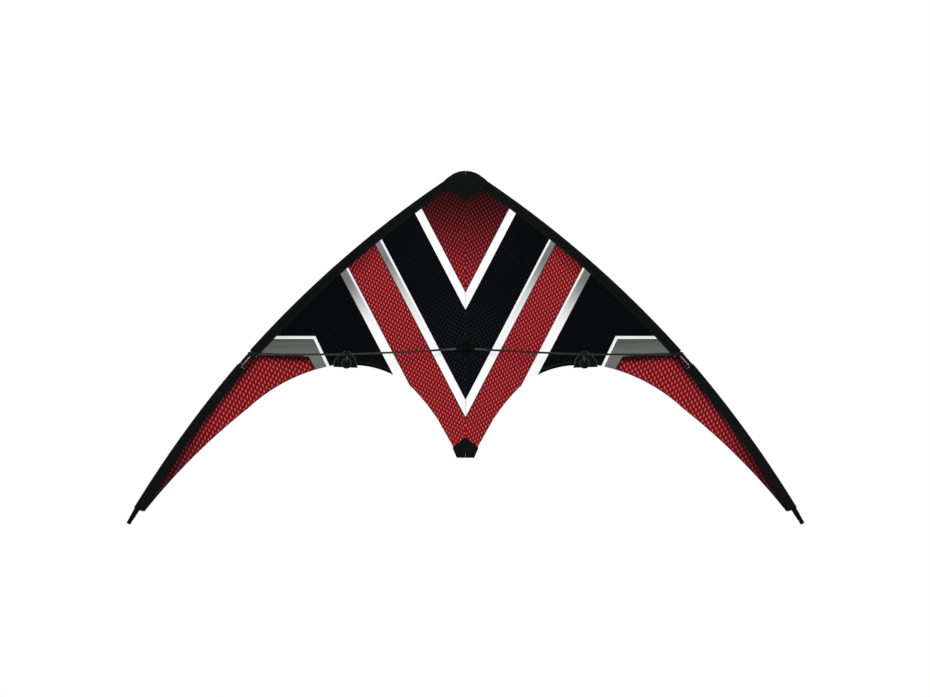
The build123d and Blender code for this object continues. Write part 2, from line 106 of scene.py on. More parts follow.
class Side(Enum):
    """A half of the kite, with the sign of its X."""

    RIGHT = 1
    LEFT = -1

    @property
    def word(self) -> str:
        """Start of the half's names."""
        return self.name.lower()

    @property
    def wing(self) -> str:
        """Body of the half's wing."""
        return f"{self.word}_wing"


# --- shader building ---------------------------------------------------------------------------
class Signal:
    """A shader socket that takes part in Python arithmetic."""

    def __init__(self, graph: "Graph", socket: bpy.types.NodeSocket) -> None:
        """Keeps the socket and the graph that its maths is added to."""
        self.graph = graph
        self.socket = socket

    def maths(self, operation: str, *terms: "Term", swap: bool = False) -> "Signal":
        """Adds a Math node with this signal as its first term, or its second if swapped."""
        values = (terms[0], self) if swap else (self, *terms)
        node = self.graph.add("ShaderNodeMath", {"operation": operation}, dict(enumerate(values)))
        return Signal(self.graph, node.outputs[0])

    def __add__(self, other: "Term") -> "Signal":
        """Sum."""
        return self.maths("ADD", other)

    __radd__ = __add__

    def __mul__(self, other: "Term") -> "Signal":
        """Product."""
        return self.maths("MULTIPLY", other)

    __rmul__ = __mul__

    def __sub__(self, other: "Term") -> "Signal":
        """Difference."""
        return self.maths("SUBTRACT", other)

    def __rsub__(self, other: "Term") -> "Signal":
        """Difference from a number."""
        return self.maths("SUBTRACT", other, swap=True)

    def __truediv__(self, other: "Term") -> "Signal":
        """Quotient."""
        return self.maths("DIVIDE", other)

    def part(self) -> "Signal":
        """Fraction above the whole part."""
        return self.maths("FRACT")

    def wave(self, period: float) -> "Signal":
        """Sine of the signal, from -1 to 1."""
        return (self * (2 * pi / period)).maths("SINE")

    def size(self) -> "Signal":
        """Absolute value."""
        return self.maths("ABSOLUTE")

    def least(self, other: "Term") -> "Signal":
        """Lesser of two."""
        return self.maths("MINIMUM", other)

    def most(self, other: "Term") -> "Signal":
        """Greater of two."""
        return self.maths("MAXIMUM", other)

    def ease(self, low: float, high: float) -> "Signal":
        """Smooth step from 0 at low to 1 at high."""
        settings = {"interpolation_type": "SMOOTHSTEP"}
        node = self.graph.add("ShaderNodeMapRange", settings, {0: self, 1: low, 2: high})
        return Signal(self.graph, node.outputs[0])


Term = Union[Signal, float]


class Graph:
    """The nodes of one material."""

    def __init__(self, tree: bpy.types.NodeTree) -> None:
        """Empties the tree."""
        self.tree = tree
        tree.nodes.clear()

    def add(self, kind: str, settings: dict | None = None, inputs: dict | None = None) -> bpy.types.Node:
        """Adds any node.

        Args:
            kind: the node's type.
            settings: its properties, set before its sockets.
            inputs: values or signals by the sockets' names or numbers.

        Returns:
            The node.
        """
        node = self.tree.nodes.new(kind)
        for key, value in (settings or {}).items():
            setattr(node, key, value)
        for key, value in (inputs or {}).items():
            if isinstance(value, Signal):
                self.tree.links.new(value.socket, node.inputs[key])
            else:
                node.inputs[key].default_value = value
        return node

    def mix(self, share: Term, start: Union[Colour, Signal], end: Union[Colour, Signal]) -> Signal:
        """Colour between two colours."""
        node = self.add("ShaderNodeMix", {"data_type": "RGBA"}, {0: share, 6: start, 7: end})
        return Signal(self, node.outputs[2])

    def map_pair(self, name: str) -> tuple[Signal, Signal]:
        """Both numbers of one of the mesh's maps."""
        node = self.add("ShaderNodeUVMap", {"uv_map": name})
        parts = self.add("ShaderNodeSeparateXYZ", inputs={0: Signal(self, node.outputs[0])})
        return Signal(self, parts.outputs[0]), Signal(self, parts.outputs[1])

    def place(self) -> tuple[Signal, Signal, Signal]:
        """Place in the piece's own frame, in metres."""
        node = self.add("ShaderNodeTexCoord")
        parts = self.add("ShaderNodeSeparateXYZ", inputs={0: Signal(self, node.outputs["Object"])})
        return tuple(Signal(self, output) for output in parts.outputs)

    def noise(
        self, scale: float, detail: float = 3.0, stretch: tuple[float, float, float] = (1, 1, 1)
    ) -> Signal:
        """Cloudy noise from 0 to 1 over the piece's own frame."""
        where = self.add("ShaderNodeTexCoord")
        factors = {0: Signal(self, where.outputs["Object"]), 1: stretch}
        scaled = self.add("ShaderNodeVectorMath", {"operation": "MULTIPLY"}, factors)
        inputs = {"Vector": Signal(self, scaled.outputs[0]), "Scale": scale, "Detail": detail}
        return Signal(self, self.add("ShaderNodeTexNoise", inputs=inputs).outputs[0])

    def bump(self, height: Signal, depth: float) -> Signal:
        """Normal of a surface raised by height times depth, in metres."""
        inputs = {"Strength": 1.0, "Distance": depth, "Height": height}
        return Signal(self, self.add("ShaderNodeBump", inputs=inputs).outputs[0])


# --- finishes ------------------------------------------------------------------------------------
@dataclass(frozen=True)
class Finish:
    """A named surface, built once and shared by its pieces."""

    name: str
    slot: str
    made: ClassVar[dict[str, bpy.types.Material]] = {}

    def material(self) -> bpy.types.Material:
        """The finish's material, built on first use."""
        if self.name not in self.made:
            material = bpy.data.materials.new(self.name)
            material.use_nodes = True
            graph = Graph(material.node_tree)
            shader = graph.add("ShaderNodeBsdfPrincipled", inputs=self.surface(graph))
            inputs = {0: Signal(graph, shader.outputs[0])}
            graph.add("ShaderNodeOutputMaterial", inputs=inputs)
            self.made[self.name] = material
        return self.made[self.name]

    def surface(self, graph: Graph) -> dict:
        """Inputs of the surface's shader."""
        raise NotImplementedError


@dataclass(frozen=True)
class WovenCloth(Finish):
    """Ripstop cloth: a fine plain weave with a raised thread every few millimetres."""

    RIB: ClassVar[float] = 5.2 * MM
    THREAD: ClassVar[float] = 0.45 * MM

    def weave(self, graph: Graph) -> tuple[Signal, Signal, Signal]:
        """Flat place in the cloth, and the weave's height from 0 to 1."""
        across, along = graph.map_pair("cloth")
        plain = across.wave(self.THREAD) * along.wave(self.THREAD) * 0.25 + 0.25
        rib = (across.wave(self.RIB).ease(0.9, 1.0)).most(along.wave(self.RIB).ease(0.9, 1.0))
        slack = graph.noise(38.0, 4.0)
        return across, along, plain + rib * 0.5 + slack * 1.6


@dataclass(frozen=True)
class PrintedCloth(WovenCloth):
    """Cloth printed with staggered rows of rounded cells that run with the stripes, with painted shade along
    its seams and the trailing edge.
    """

    light: Colour = tint(222, 86, 90)
    dark: Colour = tint(118, 12, 19)
    # The dim colours serve both a printed gradient, maroon under the nose on the crown, and painted shade
    # near the sleeve on the other panels.
    light_faded: Colour = tint(76, 23, 28)
    dark_faded: Colour = tint(28, 3, 8)
    # edge: colour of the painted shade along the seams and the trailing edge
    edge: Colour = tint(62, 34, 36)

    LEAN: ClassVar[float] = radians(30)
    PITCH: ClassVar[Flat] = (6.3 * MM, 6.9 * MM)
    CELL: ClassVar[Flat] = (3.1 * MM, 6.2 * MM)
    SEAM_SHADE: ClassVar[float] = 3.4 * MM

    def cells(self, graph: Graph, across: Signal, along: Signal) -> Signal:
        """Mask of the cells, 1 inside them."""
        side = (across * cos(self.LEAN) + along * sin(self.LEAN)) / self.PITCH[0]
        down = (across * sin(self.LEAN) - along * cos(self.LEAN)) / self.PITCH[1]
        off_side = (side.part() - 0.5) * self.PITCH[0]
        off_down = (down.part() - 0.5) * self.PITCH[1]
        x = (off_side * cos(self.LEAN) + off_down * sin(self.LEAN)) * (2 / self.CELL[0])
        y = (off_side * sin(self.LEAN) - off_down * cos(self.LEAN)) * (2 / self.CELL[1])
        return 1 - (x * x + y * y).ease(0.35, 1.15)

    def surface(self, graph: Graph) -> dict:
        """Inputs of the surface's shader."""
        across, along, height = self.weave(graph)
        seam, fade = graph.map_pair("tone")
        cells = self.cells(graph, across, along)
        worn = cells * (0.5 + graph.noise(300.0, 3.0) * 1.0)
        bright = graph.mix(worn, self.dark, self.light)
        dim = graph.mix(worn, self.dark_faded, self.light_faded)
        # The tone map's second number picks between dim and bright: a printed gradient on the crown, painted
        # shade near the sleeve elsewhere.
        printed = graph.mix(fade, dim, bright)
        # Painted shade: the print darkens towards the edge colour within a few millimetres of a seam or the
        # trailing edge.
        shade = 1 - seam.ease(0.9 * MM, self.SEAM_SHADE)
        colour = graph.mix(shade * 0.85, printed, self.edge)
        return {
            "Base Color": colour,
            "Roughness": 0.62 - cells * 0.12,
            "Specular IOR Level": 0.03,
            "Normal": graph.bump(height + cells * 0.3, 0.06 * MM),
        }


class StripeShade(Enum):
    """How a white stripe is printed."""

    PLAIN = 0.0
    SILVERED = 1.0


@dataclass(frozen=True)
class StripeCloth(WovenCloth):
    """White cloth, plain or with a silver shade that fades out towards the trailing edge."""

    shade: StripeShade = StripeShade.PLAIN
    white: Colour = (0.9, 0.9, 0.9, 1.0)
    grey: Colour = tint(124, 128, 126)
    lip: float = 2.6 * MM

    def surface(self, graph: Graph) -> dict:
        """Inputs of the surface's shader."""
        across, _, height = self.weave(graph)
        inner, down = graph.map_pair("tone")
        outer = inner.ease(self.lip, self.lip + 2.4 * MM)
        cloud = graph.noise(14.0, 2.0) * 0.3 + 0.85
        silver = outer * (1 - down.ease(0.12, 0.78)) * cloud * self.shade.value
        rim = (1 - inner.ease(0.0, 1.2 * MM)) * 0.05 + (1 - across.ease(0.3 * MM, 1.1 * MM)) * 0.45
        colour = graph.mix((silver + rim).least(1.0), self.white, self.grey)
        return {
            "Base Color": colour,
            "Roughness": 0.5 + graph.noise(90.0) * 0.15,
            "Specular IOR Level": 0.1,
            "Normal": graph.bump(height, 0.06 * MM),
        }


@dataclass(frozen=True)
class SilverCloth(WovenCloth):
    """Grey cloth printed like brushed metal, with a white bevel along its upper edges and a painted shadow of
    the spreader along the outer part of its lower edge.
    """

    grey: Colour = tint(100, 107, 100)
    pale: Colour = tint(122, 126, 121)
    deep: Colour = tint(76, 82, 77)
    bevel: Colour = (0.88, 0.89, 0.88, 1.0)
    # foot: colour of the painted spreader shadow along the lower edge
    foot: Colour = tint(34, 24, 24)
    bevel_width: float = 6.0 * MM

    def surface(self, graph: Graph) -> dict:
        """Inputs of the surface's shader."""
        height = self.weave(graph)[2]
        edge, down = graph.map_pair("tone")
        streak = graph.noise(9.0, 5.0, (1.0, 1.0, 42.0))
        body = graph.mix(streak.ease(0.32, 0.68), self.deep, self.grey)
        body = graph.mix(down.ease(0.1, 1.0) * 0.75, body, self.pale)
        lip = 1 - edge.ease(self.bevel_width - 0.8 * MM, self.bevel_width)
        line = lip * (1 - (1 - edge.ease(0.0, 1.3 * MM)) * 0.25)
        printed = graph.mix(line, body, self.bevel)
        return {
            # Painted shadow: where the tone's second number runs from 1 to 2, the panel darkens to the foot
            # colour.
            "Base Color": graph.mix(down.ease(1.0, 2.0) * 0.9, printed, self.foot),
            "Roughness": 0.4 + streak * 0.2,
            "Specular IOR Level": 0.08,
            "Normal": graph.bump(height, 0.05 * MM),
        }


@dataclass(frozen=True)
class Webbing(Finish):
    """Heavy woven tape with a twill line."""

    colour: Colour = tint(8, 12, 11)
    thread: Colour = tint(23, 28, 26)
    pitch: float = 1.1 * MM
    gloss: float = 0.02

    def surface(self, graph: Graph) -> dict:
        """Inputs of the surface's shader."""
        across, along = graph.map_pair("cloth")
        twill = (across + along * 0.6).wave(self.pitch) * 0.5 + 0.5
        cross = (along - across * 0.25).wave(self.pitch * 0.7) * 0.5 + 0.5
        dust = graph.noise(120.0, 4.0)
        shade = twill * 0.45 + dust * 0.45
        return {
            "Base Color": graph.mix(shade, self.colour, self.thread),
            "Roughness": 0.85 - twill * 0.12,
            "Specular IOR Level": self.gloss,
            "Normal": graph.bump(twill * 0.7 + cross * 0.4 + dust * 0.6, 0.12 * MM),
        }


@dataclass(frozen=True)
class CarbonRod(Finish):
    """Wrapped carbon tube under clear resin, with a painted highlight that lightens it beside the centre T.
    """

    dark: Colour = tint(9, 10, 11)
    light: Colour = tint(28, 30, 32)
    # bright: colour of the painted highlight beside the centre T
    bright: Colour = tint(62, 65, 67)
    wrap: float = 5.5 * MM
    # where the painted highlight starts and ends its fade, out from the centre line
    polish: Flat = (24 * MM, 52 * MM)
    polished: float = 0.0

    def surface(self, graph: Graph) -> dict:
        """Inputs of the surface's shader."""
        x, y, z = graph.place()
        run = x * 0.8 + z
        spiral = (run + y * 1.5).wave(self.wrap) * 0.5 + 0.5
        cross = (run - y * 1.5).wave(self.wrap * 0.37) * 0.5 + 0.5
        mark = spiral.ease(0.55, 0.95) * 0.5 + cross * 0.2
        # Painted highlight: the rod is lightened towards the bright colour near the centre T, fading out
        # along the span.
        painted_highlight = (1 - x.size().ease(*self.polish)) * self.polished
        return {
            "Base Color": graph.mix(painted_highlight, graph.mix(mark, self.dark, self.light), self.bright),
            "Roughness": 0.3 + graph.noise(300.0) * 0.12,
            "Specular IOR Level": 0.16,
            "Coat Weight": 0.08 + spiral * 0.04,
            "Coat Roughness": 0.12,
            "Normal": graph.bump(spiral, 0.02 * MM),
        }


@dataclass(frozen=True)
class Moulding(Finish):
    """Moulded vinyl or nylon with a fine grain, paler where it is rubbed."""

    colour: Colour = tint(14, 16, 16)
    rubbed: Colour = tint(44, 47, 47)
    roughness: float = 0.55
    gloss: float = 0.12
    grain: float = 900.0

    def surface(self, graph: Graph) -> dict:
        """Inputs of the surface's shader."""
        grain = graph.noise(self.grain, 2.0)
        scuff = graph.noise(160.0, 5.0).ease(0.52, 0.78)
        return {
            "Base Color": graph.mix(scuff * 0.35 + grain * 0.12, self.colour, self.rubbed),
            "Roughness": self.roughness + grain * 0.18 - scuff * 0.08,
            "Specular IOR Level": self.gloss,
            "Normal": graph.bump(grain + scuff * 0.5, 0.05 * MM),
        }


@dataclass(frozen=True)
class DrawnMetal(Finish):
    """Aluminium tube with fine drawing lines."""

    colour: Colour = tint(178, 180, 184)
    line: Colour = tint(140, 142, 146)

    def surface(self, graph: Graph) -> dict:
        """Inputs of the surface's shader."""
        lines = graph.noise(60.0, 6.0, (1.0, 30.0, 1.0))
        return {
            "Base Color": graph.mix(lines, self.colour, self.line),
            "Roughness": 0.25 + lines * 0.2,
            "Metallic": 1.0,
            "Normal": graph.bump(lines, 0.02 * MM),
        }


@dataclass(frozen=True)
class SewingThread(Finish):
    """Twisted thread."""

    colour: Colour = tint(120, 120, 120)
    deep: Colour = tint(70, 70, 72)
    twist: float = 0.5 * MM

    def surface(self, graph: Graph) -> dict:
        """Inputs of the surface's shader."""
        x, y, z = graph.place()
        twist = (x + y + z).wave(self.twist) * 0.5 + 0.5
        return {
            "Base Color": graph.mix(twist, self.deep, self.colour),
            "Roughness": 0.6 + twist * 0.2,
            "Specular IOR Level": 0.2,
            "Normal": graph.bump(twist, 0.04 * MM),
        }


@dataclass(frozen=True)
class StudioFloor(Finish):
    """Pale matt floor."""

    colour: Colour = (0.78, 0.78, 0.78, 1.0)
    shade: Colour = (0.74, 0.74, 0.745, 1.0)

    def surface(self, graph: Graph) -> dict:
        """Inputs of the surface's shader."""
        cloud = graph.noise(2.0, 4.0)
        return {"Base Color": graph.mix(cloud, self.colour, self.shade), "Roughness": 0.9}


RED_PRINT = PrintedCloth("red_printed_sailcloth", "red_sailcloth")
BLACK_PRINT = PrintedCloth(
    "black_printed_sailcloth",
    "black_sailcloth",
    light=tint(29, 33, 35),
    dark=tint(1, 4, 7),
    light_faded=tint(9, 12, 16),
    dark_faded=tint(0, 2, 5),
    # edge: painted shade along the black print's seams
    edge=tint(3, 5, 6),
)
WHITE_STRIPE = StripeCloth("white_sailcloth", "white_sailcloth")
SILVERED_STRIPE = StripeCloth("silvered_sailcloth", "white_sailcloth", shade=StripeShade.SILVERED)
SILVER_PRINT = SilverCloth("silver_printed_sailcloth", "silver_sailcloth")
EDGE_TAPE = Webbing("edge_tape", "black_tape", colour=tint(10, 12, 12), pitch=0.7 * MM)
NOSE_WEBBING = Webbing("nose_webbing", "black_webbing")
SLEEVE_CLOTH = Webbing("sleeve_cloth", "black_sleeve", colour=tint(11, 14, 12), pitch=0.8 * MM)
CARBON = CarbonRod("wrapped_carbon", "carbon_rod")
# The spreader's finish carries a painted highlight beside the centre T.
SPREADER_CARBON = CarbonRod("polished_carbon", "carbon_rod", polished=0.9)
METAL = DrawnMetal("drawn_aluminium", "ferrule_metal")
NYLON = Moulding("black_nylon", "black_plastic", colour=tint(10, 12, 12), rubbed=tint(32, 34, 34), gloss=0.1)
VINYL = Moulding("black_vinyl", "black_vinyl", colour=tint(7, 10, 9), rubbed=tint(22, 25, 24), gloss=0.03)
PIPING = Moulding(
    "grey_piping", "black_tape", colour=tint(70, 73, 74), rubbed=tint(98, 102, 104), grain=1400.0
)
GREY_THREAD = SewingThread("grey_thread", "black_tape")
DARK_THREAD = SewingThread("dark_thread", "black_tape", colour=tint(46, 48, 48), deep=tint(22, 24, 24))
FLOOR = StudioFloor("studio_floor", "")


# --- plan of the wing ------------------------------------------------------------------------------
@dataclass(frozen=True)
class Arc:
    """Arc of the outline in the front view, as a height over X."""

    start: Flat
    middle: Flat
    end: Flat

    def height(self, x: float) -> float:
        """Z of the arc at an X."""
        (x1, z1), (x2, z2), (x3, z3) = self.start, self.middle, self.end
        turn = 2 * (x1 * (z2 - z3) + x2 * (z3 - z1) + x3 * (z1 - z2))
        one, two, three = x1 * x1 + z1 * z1, x2 * x2 + z2 * z2, x3 * x3 + z3 * z3
        cx = (one * (z2 - z3) + two * (z3 - z1) + three * (z1 - z2)) / turn
        cz = (one * (x3 - x2) + two * (x1 - x3) + three * (x2 - x1)) / turn
        rise = sqrt(max(0.0, (x1 - cx) ** 2 + (z1 - cz) ** 2 - (x - cx) ** 2))
        return cz + rise if z2 > cz else cz - rise


@dataclass(frozen=True)
class WingPlan:
    """Outline, dihedral and billow of the right wing, within a few millimetres of the solid's."""

    slope: float = tan(radians(5.0))
    axis_y: float = 17.0 * MM              # the spine's axis behind the bridle eye
    sail_y: float = -5.0 * MM              # the sail in front of the spine's axis
    gap: float = 0.05 * MM                 # half of the slit between the halves
    tuck: float = 1.5 * MM                 # how far the cloth runs on under the sleeve's lap
    centre: Flat = (-1.095, -1.3614)       # centre of the leading edge's arc
    radius: float = 2.032
    sleeve: float = 19.0 * MM
    spar_inset: float = 4.5 * MM
    tip_inset: float = 8.5 * MM
    sleeve_start: float = 0.030
    notch: Flat = (0.4156, 0.4388)         # stations of the leading edge where the sleeve is open
    notch_inset: float = 9.0 * MM
    sleeve_end: float = 0.636
    cloth_end: float = 0.640               # the cloth runs on over the tip cap's collar
    billow: float = 0.080
    standoff: Flat = (0.2296, -0.0269)
    billow_end: float = 0.660
    rise: float = 1.917                    # slope of the stripes
    stripes: tuple = (0.1081, 0.0754, -0.0977, -0.1304, -0.2765, -0.3169)
    silver_edge: tuple = ((0.2896, 0.0252), (0.2500, -0.0592))
    red_edge: tuple = ((0.3030, -0.0144), (0.2850, -0.0470))
    silver_lift: float = 6.0 * MM          # how far the silver panel's foot rises towards the sleeve
    silver_run: float = 87.0 * MM          # and over what width
    tip_station: float = 0.600
    tip_point: float = 0.597               # X where the red panel runs out on the trailing edge
    tip_tuck: float = 4.5 * MM             # the tip's cloth runs deeper into the sleeve
    tip_foot: Flat = (0.619, -0.3134)
    window: Flat = (0.0125, 0.015)
    keel: float = -0.206
    ripple: float = 0.55 * MM

    ARCS: ClassVar[tuple] = (
        Arc((0.024, -0.188), (0.055, -0.133), (0.101, -0.0765)),
        Arc((0.101, -0.0765), (0.155, -0.043), (0.209, -0.0315)),
        Arc((0.254, -0.031), (0.340, -0.0595), (0.421, -0.1154)),
        Arc((0.421, -0.1154), (0.520, -0.203), (0.619, -0.3134)),
    )

    def edge_point(self, station: float, inset: float) -> Vector:
        """Point in the wing's plane, the given distance inside the leading edge."""
        angle = acos((station - self.centre[0]) / self.radius)
        reach = self.radius - inset
        x = self.centre[0] + reach * cos(angle)
        z = self.centre[1] + reach * sin(angle)
        return Vector((x, self.axis_y + self.sail_y + x * self.slope, z))

    def edge_flat(self, station: float, inset: float) -> Flat:
        """The same point in the front view."""
        point = self.edge_point(station, inset)
        return (point.x, point.z)

    def spar_point(self, station: float) -> Vector:
        """Centre of the leading edge's spar."""
        share = max(0.0, (station - self.notch[1]) / (self.sleeve_end - self.notch[1]))
        return self.edge_point(station, self.spar_inset + (self.tip_inset - self.spar_inset) * share)

    def edge_height(self, x: float, inset: float) -> float:
        """Z of the leading edge's arc at an X."""
        return self.centre[1] + sqrt((self.radius - inset) ** 2 - (x - self.centre[0]) ** 2)

    def top(self, x: float) -> float:
        """Z of the sail's upper edge, inside the sleeve's lap."""
        return self.edge_height(x, self.sleeve - self.tuck)

    def foot(self, x: float) -> float:
        """Z of the sail's trailing edge."""
        if x <= 0.017:
            return self.keel
        if x <= 0.024:
            return self.keel + (x - 0.017) * (0.018 / 0.007)
        if 0.209 < x < 0.254:
            return -0.0315 + (x - 0.209) * (0.0005 / 0.045)
        for arc in self.ARCS:
            if x <= arc.end[0]:
                return arc.height(x)
        return self.tip_foot[1]

    def share_down(self, x: float, z: float) -> float:
        """How far down the sail a place is, from 0 at the spar to about 1 at the trailing edge."""
        top = self.edge_height(x, self.spar_inset)
        keel = 0.180 * exp(-x / 0.075)
        wing = 0.266 * max(0.0, (x - 0.240) / 0.366) ** 1.6
        return (top - z) / (top + 0.030 + keel + wing)

    def fold(self, x: float, z: float) -> float:
        """Shallow tension folds that fan out from the standoff and flutter at the trailing edge."""
        share = self.share_down(x, z)
        away = hypot(x - self.standoff[0], z - self.standoff[1])
        turn = atan2(z - self.standoff[1], x - self.standoff[0])
        fan = sin(11 * turn + 0.8 * sin(3 * turn)) * exp(-away / 0.16)
        flutter = sin(2 * pi * x / 0.043 + 5 * sin(9 * x)) * max(0.0, share) ** 4
        drape = 0.6 * sin(2 * pi * (x * 0.55 + z) / 0.19)
        calm = ease(0.016, 0.055, away) * ease(0.008, 0.05, x) * ease(0.03, 0.22, share)
        return self.ripple * calm * (1 - ease(0.54, 0.60, x)) * (fan + 0.7 * flutter + drape)

    def sail(self, x: float, z: float) -> float:
        """Depth of the billowed sail at a place in the front view."""
        share = self.share_down(x, z)
        if x < self.standoff[0]:
            depth = self.billow * sin(pi / 2 * x / self.standoff[0])
        else:
            depth = self.billow * cos(pi / 2 * (x - self.standoff[0]) / (self.billow_end - self.standoff[0]))
        plane = self.axis_y + self.sail_y + x * self.slope
        return plane + depth * (1.25 * share - 0.25 * share**3) + self.fold(x, z)

    def on_sail(self, place: Flat, lift: float = 0.0) -> Vector:
        """Point on the sail, moved out from its middle by lift along its normal, towards +Y."""
        x, z = place
        if not lift:
            return Vector((x, self.sail(x, z), z))
        normal = self.normal(place)
        normal.x *= ease(0.0, 4.0 * MM, x)
        return Vector((x, self.sail(x, z), z)) + normal.normalized() * lift

    def normal(self, place: Flat) -> Vector:
        """The sail's normal, towards +Y."""
        x, z = place
        step = 1.0 * MM
        across = (self.sail(x + step, z) - self.sail(x - step, z)) / (2 * step)
        down = (self.sail(x, z + step) - self.sail(x, z - step)) / (2 * step)
        return Vector((-across, 1.0, -down)).normalized()

    def stripe_ends(self, level: float) -> tuple[Flat, Flat]:
        """Lower and upper end of a line that runs with the stripes from a height on the centre line."""
        def over(x: float) -> float:
            return level + self.rise * x
        low, high = self.gap, 0.45
        for _ in range(48):
            half = (low + high) / 2
            if over(half) < self.top(half):
                low = half
            else:
                high = half
        upper = (low, over(low))
        if over(self.gap) >= self.keel:
            return (self.gap, over(self.gap)), upper
        x = upper[0]
        while self.foot(x) <= over(x) and x > self.gap:
            x -= 2.0 * MM
        low, high = x, x + 2.0 * MM
        for _ in range(30):
            half = (low + high) / 2
            if self.foot(half) > over(half):
                low = half
            else:
                high = half
        return (high, over(high)), upper

    def line_foot(self, start: Flat, end: Flat) -> Flat:
        """Where a line that runs down from start through end meets the trailing edge."""
        low, high = 0.0, 3.0
        for _ in range(48):
            half = (low + high) / 2
            x, z = between(start, end, half)
            if z > self.foot(x):
                low = half
            else:
                high = half
        return between(start, end, low)

    def side_at(self, height: float) -> Flat:
        """Where a level line meets the sail's upper edge."""
        low, high = 0.1, 0.63
        for _ in range(48):
            half = (low + high) / 2
            if self.top(half) > height:
                low = half
            else:
                high = half
        return (low, height)

    def silver_foot(self, x: float) -> float:
        """Z of the silver panel's lower edge at an X."""
        start, level = self.red_edge[0]
        return level + self.silver_lift * (x - start) / self.silver_run

    def foot_run(self, start: float, end: float, count: int) -> list[Flat]:
        """Points along the trailing edge between two X."""
        steps = [start + (end - start) * step / count for step in range(count + 1)]
        return [(x, self.foot(x)) for x in steps]

    def edge_run(self, start: float, end: float, count: int, inset: float) -> list[Flat]:
        """Points along the leading edge between two stations."""
        steps = [start + (end - start) * step / count for step in range(count + 1)]
        return [self.edge_flat(station, inset) for station in steps]

    def station_of(self, x: float) -> float:
        """Station of the point of the sail's upper edge at an X."""
        cosine = (x - self.centre[0]) / (self.radius - self.sleeve + self.tuck)
        return self.centre[0] + self.radius * cosine


PLAN = WingPlan()


# --- making meshes ----------------------------------------------------------------------------------
Tone = Callable[[float, float], Flat]


